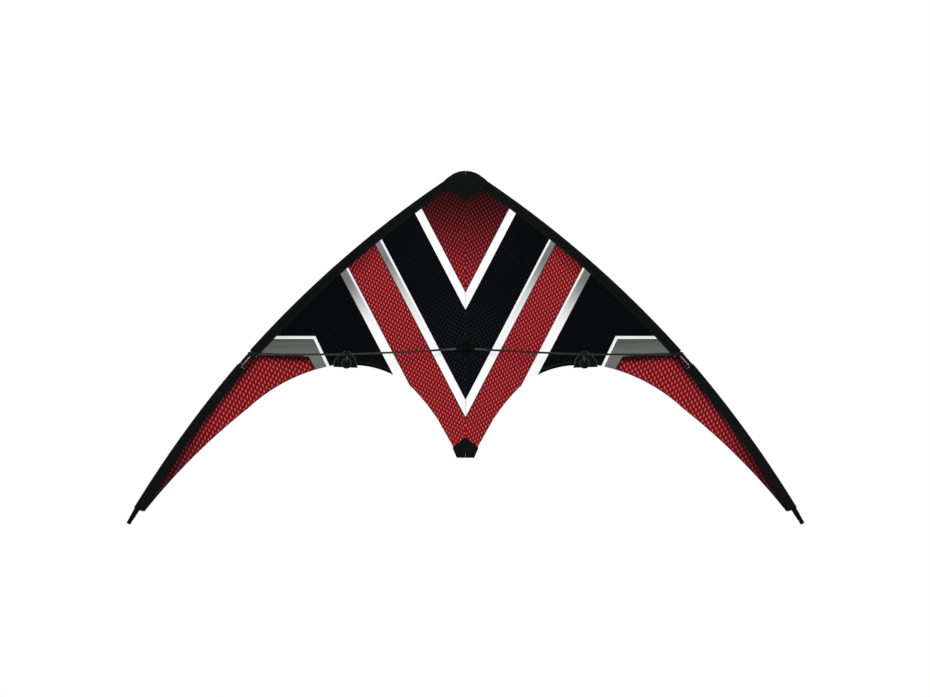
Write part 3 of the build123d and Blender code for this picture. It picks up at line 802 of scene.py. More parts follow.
class Draft:
    """A mesh of the right half in the making."""

    flush: float = 0.45 * MM               # what is nearer the centre is moved onto it

    def __init__(self) -> None:
        """Starts empty."""
        self.mesh = bmesh.new()

    def grid(self, rows: list[list[Vector]], closed: bool = False) -> None:
        """Adds a sheet of quads.

        Args:
            rows: rows of points, all of one length.
            closed: True if each row is a ring.
        """
        points = [[self.mesh.verts.new(point) for point in row] for row in rows]
        count = len(points[0])
        for first, second in zip(points, points[1:]):
            for index in range(count if closed else count - 1):
                after = (index + 1) % count
                self.face(first[index], first[after], second[after], second[index])

    def face(self, *corners: bmesh.types.BMVert) -> None:
        """Adds a face."""
        self.mesh.faces.new(corners)

    def tube(self, line: list[Vector], radius: float, sides: int = 8, taper: bool = False) -> None:
        """Adds a round tube with closed ends along a line of points.

        Args:
            line: the tube's centre line.
            radius: its radius.
            sides: how many sides it has.
            taper: True to draw its ends in.
        """
        rings = []
        count = len(line)
        for index, point in enumerate(line):
            along = (line[min(index + 1, count - 1)] - line[max(index - 1, 0)]).normalized()
            side = along.cross(Vector((0, 1, 0)))
            side = side.normalized() if side.length > 0.1 else along.cross(Vector((1, 0, 0))).normalized()
            over = along.cross(side)
            reach = radius * (END_TAPER if taper and index in (0, count - 1) else 1.0)
            turns = [2 * pi * step / sides for step in range(sides)]
            rings.append([point + (side * cos(turn) + over * sin(turn)) * reach for turn in turns])
        points = [[self.mesh.verts.new(point) for point in ring] for ring in rings]
        for first, second in zip(points, points[1:]):
            for index in range(sides):
                after = (index + 1) % sides
                self.face(first[index], first[after], second[after], second[index])
        self.face(*reversed(points[0]))
        self.face(*points[-1])

    def weld(self, distance: float = 0.02 * MM) -> None:
        """Joins points that meet and drops faces with no area."""
        bmesh.ops.remove_doubles(self.mesh, verts=self.mesh.verts[:], dist=distance)
        bmesh.ops.dissolve_degenerate(self.mesh, dist=distance, edges=self.mesh.edges[:])

    def thicken(self, thickness: float) -> float:
        """Gives a sheet a thickness, half on each side.

        Args:
            thickness: from face to face.

        Returns:
            Area of the sheet's middle.
        """
        bmesh.ops.recalc_face_normals(self.mesh, faces=self.mesh.faces[:])
        self.mesh.normal_update()
        area = sum(face.calc_area() for face in self.mesh.faces)
        for vert in self.mesh.verts:
            vert.co += vert.normal * thickness / 2
        bmesh.ops.solidify(self.mesh, geom=self.mesh.faces[:], thickness=thickness)
        self.sort_faces()
        for vert in self.mesh.verts:
            if vert.co.x < self.flush:
                vert.co.x = PLAN.gap
        bmesh.ops.recalc_face_normals(self.mesh, faces=self.mesh.faces[:])
        return area

    def sort_faces(self) -> None:
        """Puts the faces in the order of their corners, because solidify's own order varies."""
        self.mesh.verts.index_update()
        count = len(self.mesh.verts)

        def rank(face: bmesh.types.BMFace) -> float:
            """Number that rises with the face's three lowest corners."""
            first, second, third = sorted(vert.index for vert in face.verts)[:3]
            return (first * count + second) * count + third

        self.mesh.faces.sort(key=rank)

    def finish(
        self, name: str, side: Side, finish: Finish, tone: Tone | None = None, grain: float = 1.0
    ) -> bpy.types.Object:
        """Turns the draft into an object.

        Args:
            name: the object's name.
            side: the half it is for; the left one is mirrored.
            finish: its surface.
            tone: what its second map holds, over the front view.
            grain: how much larger its print is than on the other panels.

        Returns:
            The object, in its place.
        """
        bmesh.ops.recalc_face_normals(self.mesh, faces=self.mesh.faces[:])
        cloth = self.mesh.loops.layers.uv.get("cloth") or self.mesh.loops.layers.uv.new("cloth")
        shade = self.mesh.loops.layers.uv.new("tone")
        for face in self.mesh.faces:
            face.smooth = True
            for loop in face.loops:
                x, _, z = loop.vert.co
                loop[cloth].uv = (x / grain, z / grain)
                loop[shade].uv = tone(x, z) if tone else (1.0, 1.0)
        if side is Side.LEFT:
            bmesh.ops.transform(self.mesh, matrix=Matrix.Diagonal((-1, 1, 1, 1)), verts=self.mesh.verts[:])
            bmesh.ops.reverse_faces(self.mesh, faces=self.mesh.faces[:])
        data = bpy.data.meshes.new(name)
        self.mesh.to_mesh(data)
        self.mesh.free()
        data.set_sharp_from_angle(angle=SHARP_ANGLE)
        piece = bpy.data.objects.new(name, data)
        bpy.context.scene.collection.objects.link(piece)
        data.materials.append(finish.material())
        return piece


def flat_size(places: list[Flat]) -> Flat:
    """Sides of the smallest rectangle round some flat points, tried every two degrees."""
    best = (1.0, 1.0)
    for step in range(90):
        turn = pi * step / 180
        across = [x * cos(turn) + z * sin(turn) for x, z in places]
        along = [z * cos(turn) - x * sin(turn) for x, z in places]
        size = (max(across) - min(across), max(along) - min(along))
        if size[0] * size[1] < best[0] * best[1]:
            best = size
    return best


@dataclass
class Sewn:
    """A sewn sheet of cloth, with its area and flat points, from which its cut size is logged."""

    piece: bpy.types.Object
    area: float
    places: list[Flat]

    def declare(self, held: str, *partners: str) -> None:
        width, length = flat_size(self.places)
        grow = max(1.0, sqrt(self.area / (width * length)) + 0.0005)
        width * grow
        length * grow
        max(self.area, 0.301 * width * length * grow * grow)
        LOG.info("%s: cut %.0f x %.0f mm", self.piece.name, width * grow / MM, length * grow / MM)


def settle(piece: bpy.types.Object, side: Side, centred: bool) -> None:
    """Gives a piece to its wing, or bakes a centred piece's place into its mesh."""
    if not centred:
        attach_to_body(piece, side.wing)
        return
    side.wing
    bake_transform(piece)


def attach(
    draft: Draft,
    name: str,
    side: Side,
    finish: Finish,
    centred: bool = False,
    node: str = "",
    tone: Tone | None = None,
    grain: float = 1.0,
) -> bpy.types.Object:
    """Turns a draft into a piece and its body.

    Args:
        draft: the piece's mesh.
        name: its name, without the half's word.
        side: the half it is for.
        finish: its surface.
        centred: True if it runs from the spine onto the wing; such a piece is baked in place and given to no
            body.
        node: the solid that it stands for, without the half's word, if there is one.
        tone: what its second map holds, over the front view.
        grain: how much larger its print is than on the other panels.

    Returns:
        The piece, in its place.
    """
    piece = draft.finish(f"{side.word}_{name}", side, finish, tone, grain)
    if node:
        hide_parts(f"{side.word}_{node}")
    settle(piece, side, centred)
    return piece


# --- sail panels -----------------------------------------------------------------------------------
@dataclass(frozen=True)
class Panel:
    """One sewn panel: ruled patches between two runs of points in the front view."""

    name: str
    finish: Finish
    patches: list
    tone: Tone
    centred: bool = False
    window: bool = False
    grain: float = 1.0


@dataclass
class Sail:
    """The printed panels of one half, their hem and their seams."""

    side: Side
    cell: float = 3.0 * MM
    thickness: float = 0.35 * MM
    hem_rise: float = 9.5 * MM
    hem_start: float = 22.0 * MM
    hem_thickness: float = 0.22 * MM
    stitch_length: float = 2.1 * MM
    stitch_pitch: float = 3.4 * MM
    stitch_radius: float = 0.22 * MM
    lap_width: float = 6.0 * MM
    lap_thickness: float = 0.2 * MM

    def steps(self, length: float) -> int:
        """How many cells a length takes."""
        return max(2, ceil(length / self.cell))

    def band(self, upper: float, lower: float) -> list:
        """Patch between two lines that run with the stripes.

        Args:
            upper: height of the upper line on the centre line.
            lower: height of the lower one.

        Returns:
            One patch, as its two runs of points.
        """
        count = self.steps((upper - lower) / sqrt(1 + PLAN.rise**2))
        levels = [upper + (lower - upper) * step / count for step in range(count + 1)]
        ends = [PLAN.stripe_ends(level) for level in levels]
        return [([low for low, _ in ends], [high for _, high in ends])]

    def seam_distance(self, x: float, z: float) -> float:
        """Distance to the nearest edge of a stripe."""
        level = z - PLAN.rise * x
        return min(abs(level - edge) for edge in PLAN.stripes) / sqrt(1 + PLAN.rise**2)

    def sleeve_distance(self, x: float, z: float) -> float:
        """Distance down from the sleeve's inner edge."""
        away = hypot(x - PLAN.centre[0], z - PLAN.centre[1])
        return PLAN.radius - PLAN.sleeve - away

    def crown_tone(self, x: float, z: float) -> Flat:
        """Maroon under the nose, bright at the foot."""
        rise = 1 - ease(0.100, 0.310, z)
        return (self.seam_distance(x, z), 0.02 + 0.84 * rise)

    def red_tone(self, x: float, z: float) -> Flat:
        """Bright, with painted shade near the sleeve and along the trailing edge."""
        seam = min(self.seam_distance(x, z), max(0.0, z - PLAN.foot(x)))
        return (seam, 0.5 + 0.5 * ease(-0.002, 0.03, self.sleeve_distance(x, z)))

    def black_tone(self, x: float, z: float) -> Flat:
        """Flecks that show round the centre T and thin out towards the wing, with painted shade that darkens
        them towards the sleeve.
        """
        away = hypot(x, z)
        # Painted shade towards the sleeve
        depth = 0.3 + 0.7 * ease(0.0, 0.06, self.sleeve_distance(x, z))
        return (self.seam_distance(x, z), depth * (1 - 0.75 * ease(0.02, 0.16, away)))

    def tip_tone(self, x: float, z: float) -> Flat:
        """Painted shade under the silver patch, beside its slanted edge and near the sleeve; darker towards
        the tip; and the distance to the trailing edge for its painted shade.
        """
        (x1, z1), (x2, z2) = PLAN.red_edge
        slant = ((x - x1) * (z1 - z2) - (z - z1) * (x1 - x2)) / hypot(x1 - x2, z1 - z2)
        # Painted shade under the silver patch, beside its slanted edge and near the sleeve; the red also
        # darkens towards the tip.
        top = ease(0.006, 0.017, PLAN.silver_foot(x) - z) if x > x1 else 1.0
        side = ease(0.0, 0.009, slant)
        sleeve = ease(-0.001, 0.014, self.sleeve_distance(x, z))
        end = 1 - ease(0.46, 0.605, x)
        foot = max(0.0, z - PLAN.foot(min(x, 0.6185)))
        return (foot, top * side * (0.05 + 0.95 * sleeve) * end)

    def stripe_tone(self, upper: float) -> Tone:
        """Distance from a stripe's inner edge, and how far down the stripe a place is."""
        def tone(x: float, z: float) -> Flat:
            inner = (upper - z + PLAN.rise * x) / sqrt(1 + PLAN.rise**2)
            down = (PLAN.top(x) - z) / max(0.02, PLAN.top(x) - PLAN.foot(x))
            return (max(0.0, inner), down)
        return tone

    def silver_tone(self, x: float, z: float) -> Flat:
        """Distance from the patch's upper edges, and how far down it a place is, running on from 1 to 2 in
        the painted spreader shadow along its lower edge.
        """
        (x1, z1), (x2, z2) = PLAN.silver_edge
        slant = ((x - x1) * (z1 - z2) - (z - z1) * (x1 - x2)) / hypot(x1 - x2, z1 - z2)
        down = min(1.0, max(0.0, (z1 - z) / 0.04))
        # Painted shadow of the spreader along the lower edge, outboard of x = 0.312
        foot = ease(0.0035, 0.0008, z - PLAN.silver_foot(x)) if x > 0.312 else 0.0
        return (max(0.0, min(z1 - z, slant)), down + foot)

    def black_wing(self) -> list:
        """Patches of the black panel inside the silver one."""
        start, peak = PLAN.stripe_ends(PLAN.stripes[5])
        corner = PLAN.silver_edge[0]
        foot = PLAN.line_foot(*PLAN.silver_edge)
        level = corner[1]
        left = ((level - PLAN.stripes[5]) / PLAN.rise, level)
        outer = PLAN.side_at(level)
        first, second = self.steps(corner[0] - left[0]), self.steps(outer[0] - corner[0])
        base = chain([left, corner, outer], [first, second])
        stations = (PLAN.station_of(peak[0]), PLAN.station_of(outer[0]))
        rim = PLAN.edge_run(stations[0], stations[1], first + second, PLAN.sleeve - PLAN.tuck)
        return [(PLAN.foot_run(start[0], foot[0], first), base[: first + 1]), (base, rim)]

    def silver(self) -> list:
        """Patch of the hooked silver panel."""
        foot, low = PLAN.line_foot(*PLAN.silver_edge), PLAN.line_foot(*PLAN.red_edge)
        corner, inner = PLAN.silver_edge[0], PLAN.red_edge[0]
        far, near = PLAN.side_at(corner[1]), PLAN.side_at(inner[1] + PLAN.silver_lift)
        counts = [self.steps(hypot(corner[0] - foot[0], corner[1] - foot[1])), self.steps(far[0] - corner[0])]
        return [(chain([foot, corner, far], counts), chain([low, inner, near], counts))]

    def tip_line(self) -> tuple[Flat, Flat]:
        """Where the red panel ends, on the sleeve and on the trailing edge."""
        top = PLAN.edge_flat(PLAN.tip_station, PLAN.sleeve - PLAN.tuck)
        return top, (PLAN.tip_point, PLAN.foot(PLAN.tip_point))

    def red_tip(self) -> list:
        """Patches of the long red panel, with the strip that runs on behind the connector."""
        low = PLAN.line_foot(*PLAN.red_edge)
        inner = PLAN.red_edge[0]
        near = PLAN.side_at(inner[1] + PLAN.silver_lift)
        top, foot = self.tip_line()
        clear = 0.6 * MM
        stations = (
            PLAN.station_of(near[0]), PLAN.notch[0] + clear, PLAN.notch[1] - clear, PLAN.tip_station,
        )
        count = self.steps(near[0] - inner[0])
        rim = chain([inner, near], [count])
        for begin, end in zip(stations, stations[1:]):
            rim += PLAN.edge_run(begin, end, self.steps(1.35 * (end - begin)), PLAN.sleeve - PLAN.tuck)[1:]
        turn = low[0] + 0.75 * (near[0] - inner[0])
        run = PLAN.foot_run(low[0], turn, count) + PLAN.foot_run(turn, foot[0], len(rim) - count - 1)[1:]
        notch = self.steps(1.35 * (stations[2] - stations[1]))
        edge = PLAN.edge_run(stations[1], stations[2], notch, PLAN.sleeve - PLAN.tuck)
        strip = PLAN.edge_run(stations[1], stations[2], notch, PLAN.notch_inset - 0.1 * MM)
        return [(run, rim), (edge, strip)]

    def tip(self) -> list:
        """Patch of black cloth at the wing's tip."""
        top, foot = self.tip_line()
        count = self.steps(PLAN.cloth_end - PLAN.tip_station)
        inset = PLAN.sleeve - PLAN.tip_tuck
        rim = [top] + PLAN.edge_run(PLAN.tip_station, PLAN.cloth_end, count, inset)[1:]
        return [(PLAN.foot_run(foot[0], PLAN.tip_foot[0], count), rim)]

    def panels(self) -> Iterator[Panel]:
        """The half's panels, from the centre to the tip."""
        edges = PLAN.stripes
        peak = PLAN.top(PLAN.gap) - PLAN.rise * PLAN.gap
        yield Panel("crown_panel", RED_PRINT, self.band(peak, edges[0]), self.crown_tone, True)
        yield Panel("upper_stripe", WHITE_STRIPE, self.band(*edges[0:2]), self.stripe_tone(edges[0]), True)
        yield Panel("black_band", BLACK_PRINT, self.band(*edges[1:3]), self.black_tone, True, True)
        middle = self.band(*edges[2:4])
        yield Panel("middle_stripe", SILVERED_STRIPE, middle, self.stripe_tone(edges[2]), True)
        yield Panel("red_band", RED_PRINT, self.band(*edges[3:5]), self.red_tone, True)
        yield Panel("lower_stripe", SILVERED_STRIPE, self.band(*edges[4:6]), self.stripe_tone(edges[4]))
        yield Panel("black_wing_panel", BLACK_PRINT, self.black_wing(), self.black_tone)
        yield Panel("silver_panel", SILVER_PRINT, self.silver(), self.silver_tone)
        yield Panel("red_tip_panel", RED_PRINT, self.red_tip(), self.tip_tone, grain=1.22)
        yield Panel("tip_patch", SLEEVE_CLOTH, self.tip(), self.tip_tone)

    def cut_window(self, draft: Draft) -> None:
        """Opens the sail round the centre T."""
        half_width, half_height = PLAN.window
        reach = 12 * MM
        for place, normal in (
            ((half_width, 0, 0), (1, 0, 0)),
            ((0, 0, half_height), (0, 0, 1)),
            ((0, 0, -half_height), (0, 0, 1)),
        ):
            near = [
                face for face in draft.mesh.faces
                if face.calc_center_median().x < half_width + reach
                and abs(face.calc_center_median().z) < half_height + reach
            ]
            parts = set(near) | {edge for face in near for edge in face.edges}
            parts |= {vert for face in near for vert in face.verts}
            bmesh.ops.bisect_plane(draft.mesh, geom=list(parts), plane_co=place, plane_no=normal)
        inside = [
            face for face in draft.mesh.faces
            if face.calc_center_median().x < half_width and abs(face.calc_center_median().z) < half_height
        ]
        bmesh.ops.delete(draft.mesh, geom=inside, context="FACES")

    def sew(self, panel: Panel) -> Sewn:
        """Builds one panel as a thin closed sheet on the billowed sail."""
        draft = Draft()
        for near, far in panel.patches:
            span = max(hypot(a[0] - b[0], a[1] - b[1]) for a, b in zip(near, far))
            rows = self.steps(span)
            lines = [[between(a, b, row / rows) for a, b in zip(near, far)] for row in range(rows + 1)]
            draft.grid([[Vector((x, 0.0, z)) for x, z in line] for line in lines])
        draft.weld()
        if panel.window:
            self.cut_window(draft)
        for vert in draft.mesh.verts:
            vert.co.y = PLAN.sail(vert.co.x, vert.co.z)
        places = [(vert.co.x, vert.co.z) for vert in draft.mesh.verts]
        area = draft.thicken(self.thickness)
        name = f"{panel.name}_cloth"
        look = (panel.tone, panel.grain)
        piece = attach(draft, name, self.side, panel.finish, panel.centred, panel.name, *look)
        return Sewn(piece, area, places)

    def hem(self) -> None:
        """Folded tape behind the trailing edge."""
        count = self.steps(0.66)
        line = PLAN.foot_run(self.hem_start, PLAN.tip_foot[0] - 1.0 * MM, count)
        draft = Draft()
        rows = []
        for share in (1.0, 0.66, 0.33, 0.12, 0.03):
            rows.append([PLAN.on_sail((x, z + self.hem_rise * share), 0.5 * MM) for x, z in line])
        rows.append([PLAN.on_sail((x, z), 0.3 * MM) for x, z in line])
        draft.grid(rows)
        area = draft.thicken(self.hem_thickness)
        piece = attach(draft, "hem_tape", self.side, EDGE_TAPE, node="trailing_edge_hem")
        length = sum(hypot(b[0] - a[0], b[1] - a[1]) for a, b in zip(line, line[1:]))

    def seam_lines(self) -> list[list[Flat]]:
        """Lines of the panels' seams in the front view."""
        lines = []
        for level in PLAN.stripes:
            low, high = PLAN.stripe_ends(level)
            lines.append(chain([low, high], [self.steps(hypot(high[0] - low[0], high[1] - low[1]))]))
        corner = PLAN.silver_edge[0]
        foot, far = PLAN.line_foot(*PLAN.silver_edge), PLAN.side_at(corner[1])
        lines.append(chain([foot, corner], [self.steps(hypot(corner[0] - foot[0], corner[1] - foot[1]))]))
        lines.append(chain([corner, far], [self.steps(far[0] - corner[0])]))
        inner = PLAN.red_edge[0]
        foot, far = PLAN.line_foot(*PLAN.red_edge), PLAN.side_at(inner[1] + PLAN.silver_lift)
        lines.append(chain([foot, inner], [self.steps(hypot(inner[0] - foot[0], inner[1] - foot[1]))]))
        lines.append(chain([inner, far], [self.steps(far[0] - inner[0])]))
        return lines

    def laps(self) -> None:
        """Lapped seam allowances behind the panels' seams."""
        draft = Draft()
        total = 0.0
        half = self.lap_width / 2
        for line in self.seam_lines():
            (x1, z1), (x2, z2) = line[0], line[-1]
            length = hypot(x2 - x1, z2 - z1)
            side = ((z2 - z1) / length * half, (x1 - x2) / length * half)
            total += length
            rows = []
            for share in (-1.0, -0.5, 0.0, 0.5, 1.0):
                places = [(max(PLAN.gap, x + side[0] * share), z + side[1] * share) for x, z in line]
                places = [(x, max(z, PLAN.foot(x) + 0.3 * MM)) for x, z in places]
                rows.append([PLAN.on_sail(place, 0.36 * MM) for place in places])
            draft.grid(rows)
        area = draft.thicken(self.lap_thickness)
        piece = attach(draft, "seam_laps", self.side, EDGE_TAPE, centred=True)
        flat = (2 * area / total, total / 2)

    def stitches(self, draft: Draft, line: list[Flat], lift: float) -> None:
        """Adds a row of stitches along a line on the sail."""
        run = [PLAN.on_sail(place, lift) for place in line]
        reach, index = 1.5 * MM, 0
        gone = 0.0
        while index < len(run) - 1:
            start, end = run[index], run[index + 1]
            length = (end - start).length
            if length > 1e-9 and reach <= gone + length:
                along = (end - start) / length
                middle = start + along * (reach - gone)
                half = along * self.stitch_length / 2
                draft.tube([middle - half, middle, middle + half], self.stitch_radius, 5, True)
                reach += self.stitch_pitch
            else:
                gone += length
                index += 1

    def thread(self) -> None:
        """Rows of stitches along the seams, the hem and the centre."""
        draft = Draft()
        inset = 1.6 * MM
        for line in self.seam_lines():
            (x1, z1), (x2, z2) = line[0], line[-1]
            length = hypot(x2 - x1, z2 - z1)
            side = ((z2 - z1) / length * inset, (x1 - x2) / length * inset)
            for lift, way in ((-0.2 * MM, 1), (0.52 * MM, -1)):
                places = [(x + side[0] * way, z + side[1] * way) for x, z in line]
                self.stitches(draft, [place for place in places if place[0] > 1.2 * MM], lift)
        attach(draft, "seam_stitches", self.side, DARK_THREAD, centred=True)
        draft = Draft()
        hem = [(x, z + self.hem_rise - 3.2 * MM) for x, z in PLAN.foot_run(0.030, 0.598, 260)]
        self.stitches(draft, hem, -0.2 * MM)
        self.stitches(draft, hem, 0.65 * MM)
        attach(draft, "hem_stitches", self.side, GREY_THREAD, centred=True)

    def centre_seam(self) -> None:
        """Stitches down the middle of the sail, on the spine's strip."""
        draft = Draft()
        for start, end in (((2.2 * MM, 0.278), (2.2 * MM, 0.018)), ((2.2 * MM, -0.018), (2.2 * MM, -0.172))):
            self.stitches(draft, chain([start, end], [60]), -0.2 * MM)
        attach(draft, "centre_stitches", self.side, DARK_THREAD, centred=True)

    def build(self) -> None:
        """Builds the half's sail."""
        for panel in self.panels():
            self.sew(panel).declare("stretched", f"{self.side.word}_upper_sleeve")
        self.hem()
        self.laps()
        self.thread()
        self.centre_seam()


# --- leading edge, nose and patches ----------------------------------------------------------------
@dataclass
class LeadingEdge:
    """Sleeves, nose pocket and reinforcement patches of one half."""

    side: Side
    spar_room: float = 3.0 * MM
    tube: float = 4.0 * MM
    lap: float = 5.0 * MM
    pitch: float = 4.0 * MM
    sleeve_cut: float = 42.0 * MM          # width of the sleeve's cloth before it is folded
    nose_cut: float = 46.0 * MM            # width of the nose webbing before it is folded
    nose_reach: float = 40.5 * MM
    nose_point: float = 0.283              # Z of the webbing's lower point on the centre line
    nose_corner: Flat = (0.0395, 0.3115)
    nose_room: float = 5.0 * MM            # half of the webbing's depth round the spar ends
    rim_depth: float = 1.3 * MM
    rim_rise: float = 3.6 * MM

    lap_height: float = 0.75 * MM          # half of the sleeve's depth where it is sewn flat

    SIDE_SHARES: ClassVar[tuple] = (0.2, 0.4, 0.58, 0.72, 0.80, 0.90, 1.0)
    PATCH_COLUMNS: ClassVar[tuple] = (PLAN.gap, 2.5, 4.9, 7.2, 9.6, 11.6, 13.4, 15.2, 17.0)
    PATCH_ROWS: ClassVar[tuple] = (
        -16.4, -14.8, -13.3, -10.8, -8.3, -5.9, -3.6, 5.2, 5.9, 8.3, 10.8, 13.3, 14.8, 16.4,
    )
    PATCH_SIZE: ClassVar[Flat] = (17.0 * MM, 32.8 * MM)

    def section(self, station: float) -> tuple[list[Vector], list[Vector]]:
        """Outer and inner ring of the sleeve at a station."""
        centre = PLAN.spar_point(station)
        ahead, behind = PLAN.spar_point(station + 1.0 * MM), PLAN.spar_point(station - 1.0 * MM)
        along = (ahead - behind).normalized()
        inward = PLAN.on_sail(PLAN.edge_flat(station, PLAN.sleeve - 0.2 * MM)) - centre
        inward = inward - along * inward.dot(along)
        reach = inward.length
        inward.normalize()
        over = along.cross(inward)
        nose = (centre - PLAN.edge_point(station, 0.0)).length
        crease = 1 + 0.05 * sin(station * 190) + 0.03 * sin(station * 77 + 1)
        turns = [pi / 2 + pi * step / 12 for step in range(13)]
        outline = [(cos(turn) * nose, sin(turn) * self.tube) for turn in turns]
        flat = reach - self.lap
        sides = []
        for share in self.SIDE_SHARES:
            x, height = reach * share, self.lap_height
            if x < flat:
                sag = 1 - x / flat
                height += (self.tube - height) * (sag * 0.75 + 0.25 * sag * sag) * crease
            sides.append((x, height))
        ring = outline + [(x, -height) for x, height in sides]
        ring += [(x, height) for x, height in reversed(sides)]
        outer = [centre + inward * x + over * height for x, height in ring]
        inner = []
        for x, height in ring:
            away = hypot(x, height) or 1.0
            inner.append(centre + (inward * x + over * height) * (self.spar_room / away))
        return outer, inner

    def sleeve(self, name: str, start: float, end: float) -> None:
        """Fabric tube round the leading edge's spar."""
        count = ceil(1.3 * (end - start) / self.pitch)
        sections = [self.section(start + (end - start) * step / count) for step in range(count + 1)]
        draft = Draft()
        rows = [inner for _, inner in sections[:1]] + [outer for outer, _ in sections]
        rows += [inner for _, inner in reversed(sections)]
        draft.grid(rows, closed=True)
        draft.weld()
        piece = attach(draft, f"{name}_cloth", self.side, SLEEVE_CLOTH, node=name)
        marks = [PLAN.spar_point(start + (end - start) * step / 40) for step in range(41)]
        self.sleeve_thread(name, start, end)

    def sleeve_thread(self, name: str, start: float, end: float) -> None:
        """Two rows of stitches along the sleeve's lap."""
        draft = Draft()
        count = ceil(1.35 * (end - start) / (3.4 * MM))
        for back in (1.2 * MM, 3.4 * MM):
            for step in range(1, count):
                station = start + (end - start) * step / count
                place = PLAN.edge_flat(station, PLAN.sleeve - back)
                middle = PLAN.on_sail(place, -0.88 * MM)
                half = (PLAN.edge_point(station + MM, 0) - PLAN.edge_point(station - MM, 0)).normalized() * MM
                draft.tube([middle - half, middle, middle + half], 0.2 * MM, 5, True)
        attach(draft, f"{name}_stitches", self.side, DARK_THREAD)

    def nose_rim(self, share: float) -> float:
        """Half of the pocket's depth at its lower edge, from the centre line to the corner."""
        return self.rim_depth + self.rim_rise * ease(0.35, 1.0, share)

    def nose_pocket(self) -> None:
        """Half of the webbing pocket over the nose, folded over the sail and the spar's end."""
        crown = Arc((PLAN.gap, 0.3420), (0.0165, 0.3394), (0.0308, 0.3312))
        reach, room = self.nose_reach, self.nose_room
        columns, fronts = 16, 18
        rows = []
        for column in range(columns + 1):
            share = column / columns
            peak_x = PLAN.gap + (reach - PLAN.gap) * share
            lip = 1.0 * MM - 0.7 * MM * ease(crown.end[0], reach, peak_x)
            edge = PLAN.edge_height(peak_x, -lip)
            peak = Vector((peak_x, 0.0, crown.height(peak_x) if peak_x < crown.end[0] else edge))
            low_x, low_z = between((PLAN.gap, self.nose_point), self.nose_corner, share)
            low = Vector((low_x, 0.0, low_z))
            down = (low - peak).normalized()
            span = (low - peak).length
            spine = 4.6 * MM * exp(-((peak_x / 0.008) ** 2))
            rim = self.nose_rim(share)
            line = []
            for step in range(fronts + 1):
                away = span - (span - room) * step / fronts
                drop = ease(0.0, 0.018, span - away)
                line.append((away, -(rim + (room - rim) * drop)))
            for step in range(1, 8):
                turn = pi * step / 8
                line.append((room * (1 - sin(turn)), -room * cos(turn)))
            for step in range(fronts + 1):
                away = room + (span - room) * step / fronts
                drop = ease(0.0, 0.018, span - away)
                line.append((away, rim + (room - rim) * drop + spine * ease(0.0, 0.012, away)))
            plane = PLAN.axis_y + PLAN.sail_y
            points = []
            for away, depth in line:
                point = peak + down * away
                points.append(Vector((point.x, plane + point.x * PLAN.slope + depth, point.z)))
            rows.append(points)
        draft = Draft()
        draft.grid(rows)
        area = draft.thicken(1.1 * MM)
        piece = attach(draft, "nose_webbing", self.side, NOSE_WEBBING, centred=True, node="nose_pocket")
        area / self.nose_cut
        self.nose_thread()

    def t_patch(self) -> None:
        """Heavy patch round the centre T, cut out where the fitting passes through the sail."""
        barrel, hub, arm = (4.95, 13.35), (9.65, 5.95), (-3.65, 5.25)
        draft = Draft()
        area = 0.0
        for near, far in zip(self.PATCH_COLUMNS, self.PATCH_COLUMNS[1:]):
            for low, high in zip(self.PATCH_ROWS, self.PATCH_ROWS[1:]):
                level = (low + high) / 2
                passes = [far < width and abs(level) < height for width, height in (barrel, hub)]
                if any(passes) or arm[0] < low and high < arm[1]:
                    continue
                area += (far - near) * (high - low) * MM * MM
                corners = [[(x * MM, z * MM) for x in (near, far)] for z in (low, high)]
                draft.grid([[PLAN.on_sail(place, -0.62 * MM) for place in row] for row in corners])
        draft.weld()
        draft.thicken(0.6 * MM)
        piece = attach(draft, "t_patch", self.side, NOSE_WEBBING, centred=True)

    def nose_thread(self) -> None:
        """Two rows of stitches along the pocket's lower edge."""
        draft = Draft()
        for back in (2.0 * MM, 4.6 * MM):
            start, end = (1.6 * MM, self.nose_point + 1.2 * MM + back), (0.0368, 0.3098 + back)
            count = 13
            for step in range(count):
                share = (step + 0.5) / count
                x, z = between(start, end, share)
                rim = self.nose_rim((x - PLAN.gap) / 0.039)
                depth = rim + (self.nose_room - rim) * ease(0.0, 0.018, back) + 0.62 * MM
                middle = Vector((x, PLAN.axis_y + PLAN.sail_y + x * PLAN.slope - depth, z))
                half = Vector((end[0] - start[0], 0, end[1] - start[1])).normalized() * MM
                draft.tube([middle - half, middle, middle + half], 0.22 * MM, 5, True)
        attach(draft, "nose_stitches", self.side, DARK_THREAD, centred=True)

    def patch(
        self, name: str, node: str, left: list[Flat], right: list[Flat], lift: float, centred: bool
    ) -> None:
        """Reinforcement in front of the sail, ruled between two edges."""
        counts = [6] * (len(left) - 1)
        near, far = chain(left, counts), chain(right, counts)
        columns = 16
        draft = Draft()
        rows = [[between(a, b, c / columns) for c in range(columns + 1)] for a, b in zip(near, far)]
        draft.grid([[PLAN.on_sail(place, lift) for place in row] for row in rows])
        places = [place for row in rows for place in row]
        area = draft.thicken(0.5 * MM)
        piece = attach(draft, name, self.side, NOSE_WEBBING, centred=centred, node=node)
        Sewn(piece, area, places).declare("stretched", f"{self.side.word}_black_wing_panel")

